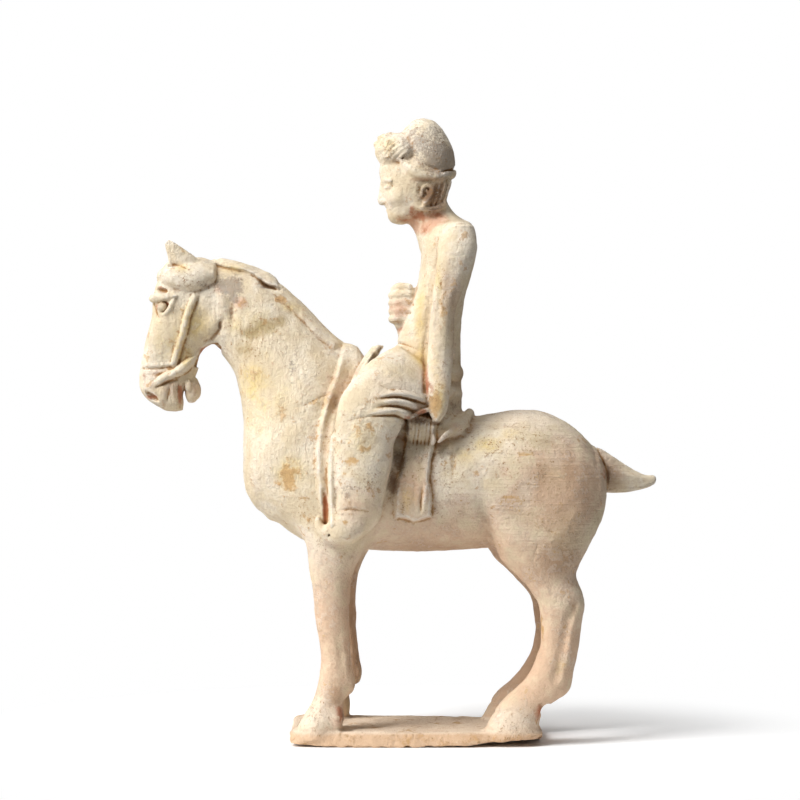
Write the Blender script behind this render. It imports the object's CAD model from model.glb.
"""A pottery tomb figure of a horse and rider, pressed in moulds from buff clay, luted together on a thin
plate, fired, coated with cream slip and worn by long burial. The clay is worked out as one block of
distances to its surface, in millimetres: masses are laid on with soft joins, relief is pressed from the
sides, and the skin where the distance is nought becomes the mesh."""

import math

import bpy
import numpy as np
import openvdb
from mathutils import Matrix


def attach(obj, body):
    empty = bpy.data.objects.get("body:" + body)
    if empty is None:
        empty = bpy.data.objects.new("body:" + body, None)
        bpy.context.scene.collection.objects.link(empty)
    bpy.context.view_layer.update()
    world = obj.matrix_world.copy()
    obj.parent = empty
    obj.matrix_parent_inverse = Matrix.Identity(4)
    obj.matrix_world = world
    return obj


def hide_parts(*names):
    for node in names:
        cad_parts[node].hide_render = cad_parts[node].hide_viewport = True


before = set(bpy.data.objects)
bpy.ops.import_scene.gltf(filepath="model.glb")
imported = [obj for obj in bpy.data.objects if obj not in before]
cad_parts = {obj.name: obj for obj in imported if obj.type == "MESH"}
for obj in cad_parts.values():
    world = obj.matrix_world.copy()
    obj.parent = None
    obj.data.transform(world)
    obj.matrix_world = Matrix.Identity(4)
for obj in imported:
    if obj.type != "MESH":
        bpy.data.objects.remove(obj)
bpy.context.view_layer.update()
MM = 0.001

# The camera stands 1.4 m from the figure's left side, level with the rider's lap, and looks straight
# across it with a long lens.
EYE = (0.84, -1400.0, 189.7)
camera_data = bpy.data.cameras.new("camera")
camera_data.sensor_width = 36.0
camera_data.lens = 112.5
camera = bpy.data.objects.new("camera", camera_data)
camera.location = [v * MM for v in EYE]
camera.rotation_euler = (math.radians(90), 0, 0)
bpy.context.scene.collection.objects.link(camera)
bpy.context.scene.camera = camera


# The horse's barrel is one thick mass from the breast to the buttocks, deepest at the rump. It was
# pressed in two halves and joined along the spine, and its skin was wiped smooth while it was wet.
VOXEL = 0.62  # edge of one cell of the block, mm
FAR = 9.0  # distances are kept up to this many mm from the surface
BLOCK_LOW = np.array([-151.0, -63.0, -4.0])
BLOCK_HIGH = np.array([151.0, 63.0, 353.0])
first = np.floor(BLOCK_LOW / VOXEL).astype(int)
clay = np.full(np.ceil(BLOCK_HIGH / VOXEL).astype(int) - first, FAR, np.float32)


def ramp(values, start, stop):
    """Nought at the start, one at the stop, and straight between them; held level beyond."""
    return np.clip((values - start) / (stop - start), 0, 1)


def window(low, high):
    """The block's cells between two corners, as slices, and their x, y and z as arrays that broadcast."""
    start = np.clip(np.floor(np.array(low) / VOXEL).astype(int) - first, 0, clay.shape)
    stop = np.clip(np.ceil(np.array(high) / VOXEL).astype(int) + 1 - first, 0, clay.shape)
    place = tuple(slice(a, b) for a, b in zip(start, stop))
    x, y, z = (VOXEL * np.arange(a + f, b + f, dtype=np.float32) for a, b, f in zip(start, stop, first))
    return place, x[:, None, None], y[None, :, None], z[None, None, :]


def lay(place, distance, melt):
    """Adds clay: the smaller of the two distances, less a quarter of the melt times the square of how
    nearly equal they are, which makes a fillet about as wide as the melt."""
    old = clay[place]
    near = np.clip(1 - np.abs(old - distance) / melt, 0, None)
    near[(old >= FAR) | (distance >= FAR)] = 0
    clay[place] = np.minimum(old, distance) - near * near * melt / 4


def carve(place, distance, melt):
    """Takes clay away: the larger of the clay's distance and the tool's turned round, plus the same term."""
    old = clay[place]
    near = np.clip(1 - np.abs(old + distance) / melt, 0, None)
    near[distance >= FAR] = 0
    clay[place] = np.maximum(old, -distance) + near * near * melt / 4


def smooth_rows(rows, steps):
    """Every number runs through its stations on a cubic whose slope at each station is half of the
    difference between the stations on both sides."""
    rows = np.array(rows, float)
    ends = np.concatenate([rows[:1], rows, rows[-1:]])
    along = np.linspace(0, len(rows) - 1, steps * (len(rows) - 1) + 1)
    k = np.minimum(along.astype(int), len(rows) - 2)
    t = (along - k)[:, None]
    a, b, c, d = (ends[k + n] for n in range(4))
    curve = (2 * t**3 - 3 * t**2 + 1) * b + (3 * t**2 - 2 * t**3) * c
    return curve + (t**3 - 2 * t**2 + t) * (c - a) / 2 + (t**3 - t**2) * (d - b) / 2


def lay_rings(points, melt):
    """Closes a stack of rings, rows by sides by 3, with a fan at each end and lays it on."""
    rows, sides = points.shape[:2]
    corners = np.concatenate([points.reshape(-1, 3), points[[0, -1]].mean(1)])
    r, s = np.meshgrid(np.arange(rows - 1), np.arange(sides), indexing="ij")
    t = (s + 1) % sides
    quads = np.stack([r * sides + s, r * sides + t, (r + 1) * sides + t, (r + 1) * sides + s], -1)
    s, t, top = np.arange(sides), (np.arange(sides) + 1) % sides, (rows - 1) * sides
    fans = [np.stack([t, s, np.full(sides, rows * sides)], -1)]
    fans.append(np.stack([top + s, top + t, np.full(sides, rows * sides + 1)], -1))
    grid = openvdb.FloatGrid.createLevelSetFromPolygons(
        corners.astype(np.float32),
        triangles=np.concatenate(fans).astype(np.uint32),
        quads=quads.reshape(-1, 4).astype(np.uint32),
        transform=openvdb.createLinearTransform(voxelSize=VOXEL),
        halfWidth=FAR / VOXEL,
    )
    low, high = (np.array(v) for v in grid.evalActiveVoxelBoundingBox())
    low = np.maximum(low, first)
    high = np.minimum(high + 1, first + clay.shape)
    distance = np.zeros(high - low, np.float32)
    grid.copyToArray(distance, ijk=tuple(int(v) for v in low))
    lay(tuple(slice(a, b) for a, b in zip(low - first, high - first)), distance, melt)


RINGS = 6  # rings from one station of a mass to the next, and in the dome at each end
SIDES = 56  # corners round a ring
TIP = 86  # degrees of a dome's turn at its smallest ring


def mass(rows, melt, wide=1, domes=(2, 2), middle=0, side=1, full=1, lean=0):
    """A mass with oval sections. A station gives two opposite points of the side outline, x, z and x, z,
    then half the width, which wide multiplies, and how far its middle lies aside. A section's points
    are its middle, plus the sine of the turn times half the outline, plus the cosine times half the
    width, both raised to the power full; lean widens the second point's end and narrows the first's.
    The ends are domes, whose rings shrink with the cosine of a turn and move outwards with its sine
    times the dome's height."""
    rows = np.array([list(r) + [0] * (6 - len(r)) for r in rows], float) * (1, 1, 1, 1, wide, 1)
    row = smooth_rows(rows, RINGS)
    bow = np.radians(np.linspace(TIP, 0, RINGS + 1)[:-1])
    count = len(row)
    pick = np.concatenate([np.zeros(RINGS, int), np.arange(count), np.full(RINGS, count - 1)])
    scale = np.concatenate([np.cos(bow), np.ones(count), np.cos(bow)[::-1]])[:, None]
    centre = (row[:, :2] + row[:, 2:4]) / 2
    out = np.zeros((len(pick), 2))
    for height, way, where, bend in (
        (domes[0], centre[0] - centre[1], slice(0, RINGS), np.sin(bow)),
        (domes[1], centre[-1] - centre[-2], slice(-RINGS, None), np.sin(bow)[::-1]),
    ):
        out[where] = bend[:, None] * (way / np.linalg.norm(way)) * height
    turn = np.linspace(0, 2 * np.pi, SIDES, endpoint=False)
    along, across = (np.sign(v) * np.abs(v) ** full for v in (np.sin(turn), np.cos(turn)))
    half = (row[pick, 2:4] - row[pick, :2]) / 2
    flat = (centre[pick] + out)[:, None] + (half * scale)[:, None] * along[None, :, None]
    aside = row[pick, 4:5] * scale * across * (1 + lean * along)
    y = side * (middle + row[pick, 5:6] + aside)
    lay_rings(np.stack([flat[..., 0], y, flat[..., 1]], -1), melt)


def between_corners(table, corner, t):
    """The table's numbers at the eight corners round each place, each times how near it is on every
    axis, added up."""
    total = 0
    for n in range(8):
        step = np.array([n & 1, n >> 1 & 1, n >> 2 & 1])
        i, j, k = np.minimum(corner + step, np.array(table.shape) - 1).T
        total = total + np.prod(np.where(step, t, 1 - t), axis=1) * table[i, j, k]
    return total


def wander(points, cell, seed):
    """Smooth random numbers from -1 to 1: seeded numbers at the corners of cubes of the given size,
    mixed by how far each place is along its cube on an eased scale."""
    grid = (points - BLOCK_LOW) / cell + 1
    corner = np.floor(grid).astype(int)
    t = grid - corner
    t = t * t * (3 - 2 * t)
    sizes = tuple(np.ceil((BLOCK_HIGH - BLOCK_LOW) / cell).astype(int) + 4)
    return between_corners(np.random.default_rng(seed).uniform(-1, 1, sizes), corner, t)


BARREL_HALF = 43.0
TRUNK = [
    (-76, 129, -74, 181, 0.63),
    (-62, 116.5, -58, 190, 0.82),
    (-45, 108.5, -42, 191, 0.93),
    (-20, 106.5, -20, 185, 0.98),
    (5, 105.2, 5, 180, 0.98),
    (30, 105.6, 32, 179.5, 0.96),
    (47, 107, 52, 182.3, 0.97),
    (60, 107, 68, 184, 1.02),
    (78, 105, 84, 182, 1),
    (95, 107, 99, 173.5, 0.93),
    (107, 117, 109, 162.5, 0.72),
]
mass(TRUNK, 1, BARREL_HALF, domes=(8.5, 7.5), lean=-0.06)


# The arched neck grows out of the breast. The mane is clipped: a strip of clay left proud along both
# sides of the crest, with its lower edge cut by the modelling tool and one lock turned up by the poll.
def side_window(low, high):
    """The window between two corners of the side view, right across the block."""
    return window((low[0], BLOCK_LOW[1], low[1]), (high[0], BLOCK_HIGH[1], high[1]))


def edge_gap(x, z, a, b):
    """How far each place of the side view lies from the edge from a to b, and how far along that edge,
    from 0 to 1, its nearest point is: the place's way from a, laid along the edge."""
    way = b[:2] - a[:2]
    share = np.clip(((x - a[0]) * way[0] + (z - a[1]) * way[1]) / (way * way).sum(), 0, 1)
    return np.hypot(x - a[0] - share * way[0], z - a[1] - share * way[1]), share


def outline_depth(outline, x, z):
    """How far each place of a side view lies inside a closed outline, or outside as a negative number:
    the distance to the nearest edge, with the sign from how many edges a level line crosses."""
    corners = np.array(outline, float)
    nearest = np.full((x.size, z.size), 1e9)
    crossings = np.zeros(nearest.shape, bool)
    px, pz = x.reshape(-1, 1), z.reshape(1, -1)
    for a, b in zip(corners, np.roll(corners, -1, 0)):
        nearest = np.minimum(nearest, edge_gap(px, pz, a, b)[0])
        if a[1] != b[1]:
            crossed_at = (b[0] - a[0]) * (pz - a[1]) / (b[1] - a[1]) + a[0]
            crossings ^= ((a[1] > pz) != (b[1] > pz)) & (px < crossed_at)
    return np.where(crossings, nearest, -nearest)


EASE = 3.0  # how far inside from_y a relief fades out, mm


def gate(y, sides, from_y):
    """One past from_y on the side with that sign, or on both for nought, easing to nought before it."""
    y = sides * y if sides else np.abs(y)
    return np.clip((y - from_y) / EASE + 1, 0, 1)


def patch(outline, rise, edge, sides=0, from_y=-60.0, waver=0.5):
    """Raises the clay inside a side outline, with a sloped edge of the given width that wavers as a
    hand-cut edge does."""
    corners = np.array(outline, float)
    place, x, y, z = side_window(corners.min(0) - edge, corners.max(0) + edge)
    depth = outline_depth(outline, x, z)
    spots = np.stack(np.broadcast_arrays(x[:, :, 0], 0, z[:, 0, :]), -1).reshape(-1, 3)
    depth += waver * (wander(spots, 9, 21) + 0.6 * wander(spots, 3.4, 22)).reshape(depth.shape)
    step = np.clip(depth / edge + 0.5, 0, 1)
    lift = (rise * step * step * (3 - 2 * step)).astype(np.float32)
    clay[place] -= lift[:, None, :] * gate(y, sides, from_y)


BENDS = 5  # straight pieces from one point of a line to the next


def press(line, sides=0, from_y=-60.0, power=2.0):
    """A ridge, or with a negative rise a groove, along a side-view line of x, z, half width and rise:
    the rise times one less the squared distance over the half width, raised to the power."""
    row = smooth_rows(line, BENDS)
    reach = row[:, 2].max()
    place, x, y, z = side_window(row[:, :2].min(0) - reach, row[:, :2].max(0) + reach)
    lift = np.zeros((x.size, z.size), np.float32)
    px, pz = x.reshape(-1, 1), z.reshape(1, -1)
    for a, b in zip(row[:-1], row[1:]):
        gap, share = edge_gap(px, pz, a, b)
        wide, rise = (a[n] + share * (b[n] - a[n]) for n in (2, 3))
        rise = rise * np.clip(1 - (gap / wide) ** 2, 0, None) ** power
        lift = np.where(np.abs(rise) > np.abs(lift), rise, lift)
    clay[place] -= lift[:, None, :].astype(np.float32) * gate(y, sides, from_y)


NECK_HALF = 34.0  # where it leaves the breast
NECK = [
    (-72, 125, -8, 190, 1),
    (-84, 141, -20, 205, 1.05),
    (-85, 160, -31, 219.5, 0.94),
    (-86.5, 179, -42, 229.5, 0.79),
    (-89.5, 197, -53, 241, 0.67),
    (-94, 208.5, -66, 253, 0.58),
    (-99.5, 215.5, -80, 261.5, 0.51),
    (-103, 219, -95, 265.8, 0.47),
    (-106, 223, -108, 266.5, 0.44),
]
mass(NECK, 9, NECK_HALF, domes=(3, 3), lean=-0.12)
MANE_EDGE = [
    (-76, 256.6), (-71, 250.6), (-66.5, 247), (-61, 242.4), (-56, 237.4), (-51, 232), (-44, 225),
    (-36, 218),
]
patch([(-104, 268.5), *MANE_EDGE, (-24, 226), (-60, 266), (-88, 276)], 1.3, 3)
press([(x, z - 0.6, 2.6, -0.8) for x, z in MANE_EDGE])
press([(x + 3.4, z + 3.4, 2.8, 0.5) for x, z in MANE_EDGE])
press([(x - 4, z - 5.4, 4.6, 0.5) for x, z in MANE_EDGE[:7]])
UPPER_LOCK = [
    (-112, 268), (-101, 265.2), (-95.5, 263.8), (-86, 261.6), (-80.4, 259.6), (-74.9, 255), (-66.6, 252),
]
patch([*UPPER_LOCK, (-68, 258.4), (-76, 268), (-112, 276)], 1.2, 1)
press([(x, z - 1, 1.6, -0.2 - 0.05 * n) for n, (x, z) in enumerate(UPPER_LOCK)])
# A nick under the lock, a shallow hollow along the neck, and comb marks by the crest.
press([(-77, 254.4, 1.4, -0.5), (-73, 253, 1.7, -1.7), (-68.6, 251.2, 1.5, -1.3)])
press([(-82, 225.5, 8, -0.5), (-73.5, 229.5, 9, -1.2), (-64, 233, 8, -0.6)], from_y=5)
for n in range(5):
    press([(-98 + 9 * n, 265.6 - 2.6 * n, 0.9, -0.2), (-92 + 9 * n, 264.6 - 3.4 * n, 1, -0.4)], from_y=1)


# The head was pressed in its own two-part mould: a flat-sided wedge with sharp brow rolls, bulging
# eyes, slit nostrils and a full lower lip, a puffed forelock under the ears, and ears set on last.
NEAR = 4.0  # small tools shape the clay only this far around them


def egg(centre, radii, melt, degrees=0, work=lay):
    """An egg turned about Y: with q the place over the radii and s the place over their squares, the
    length of q times one less than itself, over the length of s, is nearly the distance."""
    reach = max(radii) + NEAR
    place, x, y, z = window(np.array(centre) - reach, np.array(centre) + reach)
    cos, sin = math.cos(math.radians(degrees)), math.sin(math.radians(degrees))
    x, y, z = x - centre[0], y - centre[1], z - centre[2]
    u, w = x * cos - z * sin, x * sin + z * cos
    q = np.sqrt((u / radii[0]) ** 2 + (y / radii[1]) ** 2 + (w / radii[2]) ** 2)
    s = np.sqrt((u / radii[0] ** 2) ** 2 + (y / radii[1] ** 2) ** 2 + (w / radii[2] ** 2) ** 2)
    distance = (q * (q - 1) / (s + 1e-6)).astype(np.float32)
    work(place, np.where(distance < NEAR, distance, FAR), melt)


def stroke(points, melt, side=1, work=lay):
    """A roll of clay, or a tool's mark, along a curve of x, y, z and radius, on the side that the sign
    of side gives: the distance to the nearest stretch of the curve, less the radius there."""
    row = smooth_rows(points, BENDS) * (1, side, 1, 1)
    reach = row[:, 3].max() + NEAR
    place, x, y, z = window(row[:, :3].min(0) - reach, row[:, :3].max(0) + reach)
    nearest = np.full(clay[place].shape, FAR, np.float32)
    for a, b in zip(row[:-1], row[1:]):
        way = b[:3] - a[:3]
        dx, dy, dz = x - a[0], y - a[1], z - a[2]
        share = np.clip((dx * way[0] + dy * way[1] + dz * way[2]) / (way @ way), 0, 1)
        gap = np.sqrt((dx - share * way[0]) ** 2 + (dy - share * way[1]) ** 2 + (dz - share * way[2]) ** 2)
        nearest = np.minimum(nearest, gap - (a[3] + share * (b[3] - a[3])))
    work(place, np.where(nearest < NEAR, nearest, FAR).astype(np.float32), melt)


HEAD_HALF = 16.5  # at the eyes
HEAD = [
    (-131, 263, -104, 263, 0.73),
    (-134.5, 256, -99, 251, 0.91),
    (-137, 247, -97, 241, 1),
    (-137.5, 238, -98.5, 231, 0.97),
    (-139.5, 230, -102, 223, 0.88),
    (-142, 220, -109.5, 216, 0.73),
    (-144, 209, -111.5, 209.5, 0.64),
    (-144.7, 201, -114, 202, 0.64),
    (-143.8, 195, -120, 195, 0.67),
    (-139.5, 189.5, -120, 188, 0.6),
    (-131, 184.3, -120.5, 183.8, 0.42),
]
mass(HEAD, 4, HEAD_HALF, domes=(3, 1), full=0.72, lean=-0.03)
# Grooves behind and under the jaw, the swelling in front of them and the hollow of the cheek.
JAW_BACK = [(-94, 246, 3, -0.4), (-93.4, 242, 3.2, -1.1), (-92.2, 237, 3.2, -1.5), (-91.4, 232.6, 2.8, -0.9)]
JOWL = [
    (-95.6, 235.6, 2, -0.3), (-98.6, 232, 2.4, -1.4), (-99.6, 228.6, 2.4, -1.5),
    (-102.4, 225.4, 2.2, -1.1), (-106.8, 222.8, 2, -0.9), (-111, 220.6, 1.6, -0.4),
]
press(JAW_BACK, from_y=5)
press(JOWL, from_y=5)
press([(-97.6, 246, 6, 0.7), (-97.4, 238, 6, 0.9), (-102.6, 232, 5, 0.9), (-108, 227, 5, 0.5)], from_y=5)
press([(-109, 240, 8, -0.5), (-110.6, 230, 8, -0.9), (-112, 221, 6, -0.9)], from_y=5)
LOWER_LIP = [
    (-119.6, 201.4, -112.6, 201.6, 6),
    (-119.8, 197.2, -110.5, 197.4, 7.8),
    (-119.4, 192.2, -110.9, 192.4, 7.7),
    (-118.2, 188.8, -113.8, 188.8, 4.8),
]
mass(LOWER_LIP, 1, domes=(1, 1))
FORELOCK = [
    (-134, 256, -132, 263.4, 10),
    (-130, 250.6, -127.2, 268, 16.6),
    (-121.5, 246.6, -118, 269.5, 19.2),
    (-111.5, 246.2, -110, 269.5, 18.8),
    (-102, 252, -103, 267, 15.8),
]
mass(FORELOCK, 0.8, domes=(1.6, 2.2), lean=-0.12)
for side in (-1, 1):
    egg((-132.2, side * 13.6, 250.8), (4.6, 5, 1.9), 0.6, 14, carve)
    egg((-130.4, side * 16, 241.6), (5, 4.4, 3.7), 0.8, 34, carve)
    egg((-131, side * 13.3, 241.4), (2.6, 3.1, 2.6), 0.3)
    # Over each eye a brow, under it a lid; then the ear, the nostril and the corner of the mouth.
    brow = [
        (-137.6, 4, 246.8, 1.5), (-136, 9.4, 246.4, 2.3), (-131.8, 13.9, 246.5, 2.3),
        (-127.2, 15.8, 247, 1.7), (-123, 16.6, 247.2, 0.9),
    ]
    stroke(brow, 0.5, side)
    lid = [
        (-124.4, 16.7, 245.4, 0.7), (-125.6, 16.4, 242.2, 1.1), (-127.4, 15.8, 239.2, 1.2),
        (-129.6, 14.6, 237.4, 1), (-132, 13.2, 236.8, 0.6),
    ]
    stroke(lid, 0.5, side)
    ear = [
        (-127, 257, -107.5, 260, 4.8, -1.5),
        (-127.5, 264.5, -110, 266.5, 4.4, -0.5),
        (-128, 269.5, -115, 270.8, 3.5, 0.5),
        (-129, 273.8, -121, 275, 2.4, 1.5),
        (-129.6, 277.3, -126.6, 278.3, 1.2, 2.2),
    ]
    mass(ear, 0.8, domes=(1, 0.9), middle=9.8, side=side)
    hollow = [
        (-123.6, 12.6, 261, 1.6), (-126.6, 13, 266, 2), (-129.6, 12.6, 271, 1.5),
        (-132, 12.2, 275.6, 0.7),
    ]
    stroke(hollow, 0.8, side, carve)
    rim = [
        (-142.6, 5.4, 196.4, 1), (-139.2, 9, 196, 1.3), (-135.8, 9.8, 193.8, 1.3),
        (-132.6, 9.6, 190.2, 0.9),
    ]
    stroke(rim, 0.8, side)
    egg((-137.2, side * 9.4, 191.8), (5, 3, 1.9), 0.4, 33, carve)
    mouth = [
        (-123.4, 10.8, 200.4, 0.7), (-122.7, 10.7, 195.8, 1.5), (-121.3, 9.8, 191.4, 1.8),
        (-119.3, 7.4, 186.6, 1.8),
    ]
    stroke(mouth, 0.5, side, carve)
    egg((-113.4, side * 7.4, 202.8), (1.7, 2.6, 1.7), 0.4, 0, carve)
    egg((-117, side * 8.2, 197.6), (1.9, 1.6, 3.4), 1.4)
# The groove in front of the eye, a parting in the forelock, and the folds of muzzle and lips.
press([(-135.9, 243, 1, -0.8), (-134.5, 238.8, 1.1, -1.2), (-132.9, 235.4, 1, -0.5)], from_y=4)
press([
    (-127, 265.2, 1.2, -0.5), (-123, 264.6, 1.4, -1), (-119, 263, 1.4, -1), (-115.4, 261.4, 1.2, -0.5),
], from_y=8)
press([(-131.6, 196, 3.4, 0.6), (-131, 190, 3, 0.5)], from_y=3)
press([(-127, 198.6, 1.1, -0.5), (-127.6, 194.6, 1.4, -1), (-128.6, 190, 1.2, -0.7)], from_y=3)
press([(-125.6, 196.6, 1.2, 0.4), (-125, 192, 1.4, 0.6), (-123.4, 187.4, 1.2, 0.4)], from_y=3)
press([(-139, 203.4, 1.2, -0.4), (-134.6, 203.6, 1.4, -0.6), (-130, 205.4, 1.2, -0.4)], from_y=3)


# The bridle is rolled clay laid on the head: a cheekpiece from the forelock to the noseband, and the
# rein, a thicker roll that sags from the jaw to the corner of the mouth.
press([
    (-143, 207, 1.1, -0.5), (-135, 207, 1.3, -0.8), (-128.6, 207.6, 1.2, -0.8), (-124.6, 208.4, 1, -0.5),
], from_y=2)
press([(-142.4, 209, 1.4, 0.5), (-134, 209, 1.4, 0.6), (-125.4, 210, 1.3, 0.5)], from_y=2)
CHEEKPIECE = [
    (-113, 247, 1.9, 1.1), (-115.5, 240.4, 2.1, 1.9), (-117.5, 235, 2.1, 2), (-119, 228, 2.1, 2),
    (-121.2, 221.6, 2, 2), (-123.4, 215.1, 2, 1.9), (-125, 209.4, 1.9, 1.5),
]
press(CHEEKPIECE, from_y=5, power=0.8)
press([(x + 2.9, z, 1.3, -0.5) for x, z, *_ in CHEEKPIECE], from_y=5)
REIN = [
    (-136.6, 198, 1.3, 0.5), (-133.4, 200, 2.4, 1.9), (-129.3, 202.7, 2.8, 2.3),
    (-125.6, 204.2, 2.6, 1.9),
]
press(REIN, from_y=4, power=0.8)
CHIN_STRAP = [
    (-126.2, 203.4, 1.4, 0.8), (-122.4, 205.6, 3, 2.9), (-119, 208, 3.2, 3.2), (-116, 210.8, 2.5, 2.4),
]
press([*CHIN_STRAP, (-113, 213.4, 1.1, 0.6)], from_y=4, power=0.8)
press([(-134, 197, 1.3, -0.6), (-129, 199.4, 1.5, -0.9), (-123, 200.8, 1.4, -0.7)], from_y=4)


# Four legs, modelled by hand over the mould's stumps: straight forelegs, hind legs bent at the hock
# with a tendon groove, and small hooves pushed into the wet plate. The right foreleg stands a little
# further back than the left, and the right thigh starts a little further forward.
FORE_Y, HIND_Y, RIGHT_FORE_BACK, RIGHT_HIND_AHEAD = 24.0, 25.0, 2.8, 3.0
FORELEG = [
    (-62, 140, -10, 136, 13.5),
    (-54, 123, -13, 118, 15),
    (-50.6, 108.5, -18.7, 106.5, 14),
    (-49, 96.7, -24.6, 94.7, 12),
    (-47.2, 83, -26.8, 81, 11),
    (-45.2, 67.2, -26.8, 65.2, 10),
    (-42.9, 53.4, -26.5, 51.5, 9),
    (-42.9, 41.7, -25, 38.7, 9),
    (-44.7, 29.9, -26.6, 29.9, 9.5),
    (-48.7, 21.5, -31.6, 22, 9.8),
    (-53.1, 14.6, -32.8, 15.1, 11.2),
    (-56.6, 7.7, -34.4, 7.2, 12.2),
    (-57, 4, -34.6, 4, 12.4),
]
HIND_LEG = [
    (70, 160, 103, 155, 9, -4),
    (59, 142, 111, 141, 14, -1),
    (51, 124, 111.5, 129, 17.5),
    (51.5, 111, 108.5, 118, 18),
    (57.4, 101, 103.5, 107.5, 16),
    (65.4, 92.6, 98.2, 95.8, 13),
    (70.6, 87, 98.6, 89.4, 11),
    (75, 81, 101.6, 82.4, 10.8),
    (77.2, 76, 102.2, 77, 10.4),
    (78.2, 66.4, 101, 68.3, 9.5),
    (78, 54.6, 99.4, 55.6, 9),
    (73.2, 41.8, 96.7, 41.8, 9),
    (64.8, 31.5, 93.8, 30, 9.5),
    (58.9, 26.4, 84.5, 23.2, 10),
    (53.5, 20.2, 78.6, 16.8, 10.5),
    (48.1, 9.9, 77, 7.9, 11),
    (47, 5, 77, 4, 11.2),
]
for side in (-1, 1):
    back = RIGHT_FORE_BACK if side > 0 else 0
    foreleg = [(ax + back, az, bx + back, bz, half) for ax, az, bx, bz, half in FORELEG]
    mass(foreleg, 8, domes=(1, 0.5), middle=FORE_Y, side=side, full=0.92)
    ahead = RIGHT_HIND_AHEAD if side > 0 else 0
    hind_leg = [(ax - ahead * min(max((az - 60) / 30, 0), 1), az, *rest) for ax, az, *rest in HIND_LEG]
    mass(hind_leg, 8, domes=(1, 0.5), middle=HIND_Y, side=side, full=0.94)
    tendon = [(95.6, 77), (92.4, 69), (90.4, 60), (88.2, 48), (85.4, 37)]
    press([(x, z, 3.6, -1) for x, z in tendon], side, 6)
    press([(x + 4.4, z, 3.2, 0.5) for x, z in tendon], side, 6)
    # The hind cannon bone, the hollow above the fore fetlock and the tops of the hooves.
    press([(84, 72, 5, 0.5), (82, 58, 5, 0.6), (80, 42, 5, 0.4)], side, 6)
    press([(-33 + back, 60, 3, -0.5), (-31.5 + back, 48, 3, -0.8), (-31 + back, 36, 3, -0.5)], side, 6)
    coronet = [(-53 + back, 15.5, 1.6, -0.5), (-44 + back, 17.5, 1.6, -0.5), (-34 + back, 15.5, 1.6, -0.3)]
    press(coronet, side, 6)
    press([(50, 17, 1.6, -0.5), (62, 19.5, 1.6, -0.6), (75, 16, 1.6, -0.4)], side, 6)
    # Clay behind the fore fetlock and pastern, and the notch behind the hind one.
    egg((-26.4 + back, side * 24, 34), (2.2, 5.4, 5), 3)
    egg((-34 + back, side * 26, 16), (3.6, 8, 9), 3)
    egg((80.6, side * 25, 20), (2.8, 9, 4), 1, 24, carve)
# The fold of the flank and the swelling of the thigh.
press([(43, 152, 7, -0.8), (46.5, 135, 7, -1.4), (49.5, 118, 6, -1.6), (55, 106, 5, -0.8)], from_y=20)
press([(57, 128, 10, 0.8), (62, 116, 10, 1)], from_y=20)


# The tail is docked and plaited short, stuck on under the croup and bent out behind.
TAIL = [
    (104, 141, 104, 165, 8),
    (113, 138.5, 114, 162, 8.5),
    (121, 137.8, 121, 157.5, 7.5),
    (130, 138.3, 130, 151.5, 6),
    (138, 140.3, 137.5, 147.6, 4.2),
    (142.2, 142.3, 142.2, 147.2, 2.8),
]
mass(TAIL, 1.6, domes=(2, 2), full=0.9, lean=-0.2)
# A ridge along the top, a groove along the side, and one round the root.
press([(116, 156, 2.6, 0.3), (124, 149.5, 2.4, 0.9), (133, 146.6, 2, 0.8), (140, 146, 1.6, 0.3)])
press([(118, 146, 3, -0.3), (126, 143.5, 2.4, -0.7), (134, 142.6, 2, -0.5)])
press([(110.6, 163, 1, -0.5), (114, 156, 1.3, -1), (116.4, 148.6, 1.3, -1), (116.6, 140.6, 1.2, -0.7)])


# The plate that joins the hooves is a slab cut by eye: its long edges are bowed, its far left corner
# is thicker, and its near edge is worn up from below towards both ends.
PLATE_LEFT, PLATE_RIGHT, PLATE_HALF, PLATE_THICK, PLATE_CORNER, PLATE_BOW = -59.5, 79.0, 36.0, 8.0, 6.0, 2.5
PLATE_ROUND = 1.5  # radius of its edges
PLATE_SLANT = 0.42  # how far its side leans in for every mm of height
PLATE_EXTRA = 2.0  # how much thicker it is at the far left corner
WORN_RIGHT, WORN_LEFT = 6.4, 2.0  # how high the near edge is worn at either end
place, x, y, z = window((-75, -50, -4), (95, 50, 20))
middle, long_half = (PLATE_LEFT + PLATE_RIGHT) / 2, (PLATE_RIGHT - PLATE_LEFT) / 2
bow = PLATE_BOW * np.clip(1 - ((x - middle) / long_half) ** 2, 0, 1)
past_x = np.abs(x - middle) - long_half + PLATE_CORNER
past_y = np.abs(y) - (PLATE_HALF - PLATE_BOW + bow) + PLATE_CORNER + PLATE_SLANT * (z - PLATE_THICK / 2)
rim = np.hypot(np.clip(past_x, 0, None), np.clip(past_y, 0, None)) - PLATE_CORNER
rim = rim + np.clip(np.maximum(past_x, past_y), None, 0) + PLATE_ROUND
top = PLATE_THICK + PLATE_EXTRA * ramp(y, -6, PLATE_HALF) * ramp(x, 60, -50)
slab = np.abs(z - top / 2) - top / 2 + PLATE_ROUND
plate = np.hypot(np.clip(rim, 0, None), np.clip(slab, 0, None)) - PLATE_ROUND
plate = plate + np.clip(np.maximum(rim, slab), None, 0)
worn = WORN_RIGHT * ramp(x, 4, PLATE_RIGHT) ** 2 + WORN_LEFT * ramp(x, -20, -60) ** 2
plate = np.maximum(plate, worn * ramp(y, 0, -30) - z)
lay(place, np.clip(plate, -FAR, FAR).astype(np.float32), 3)


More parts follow.
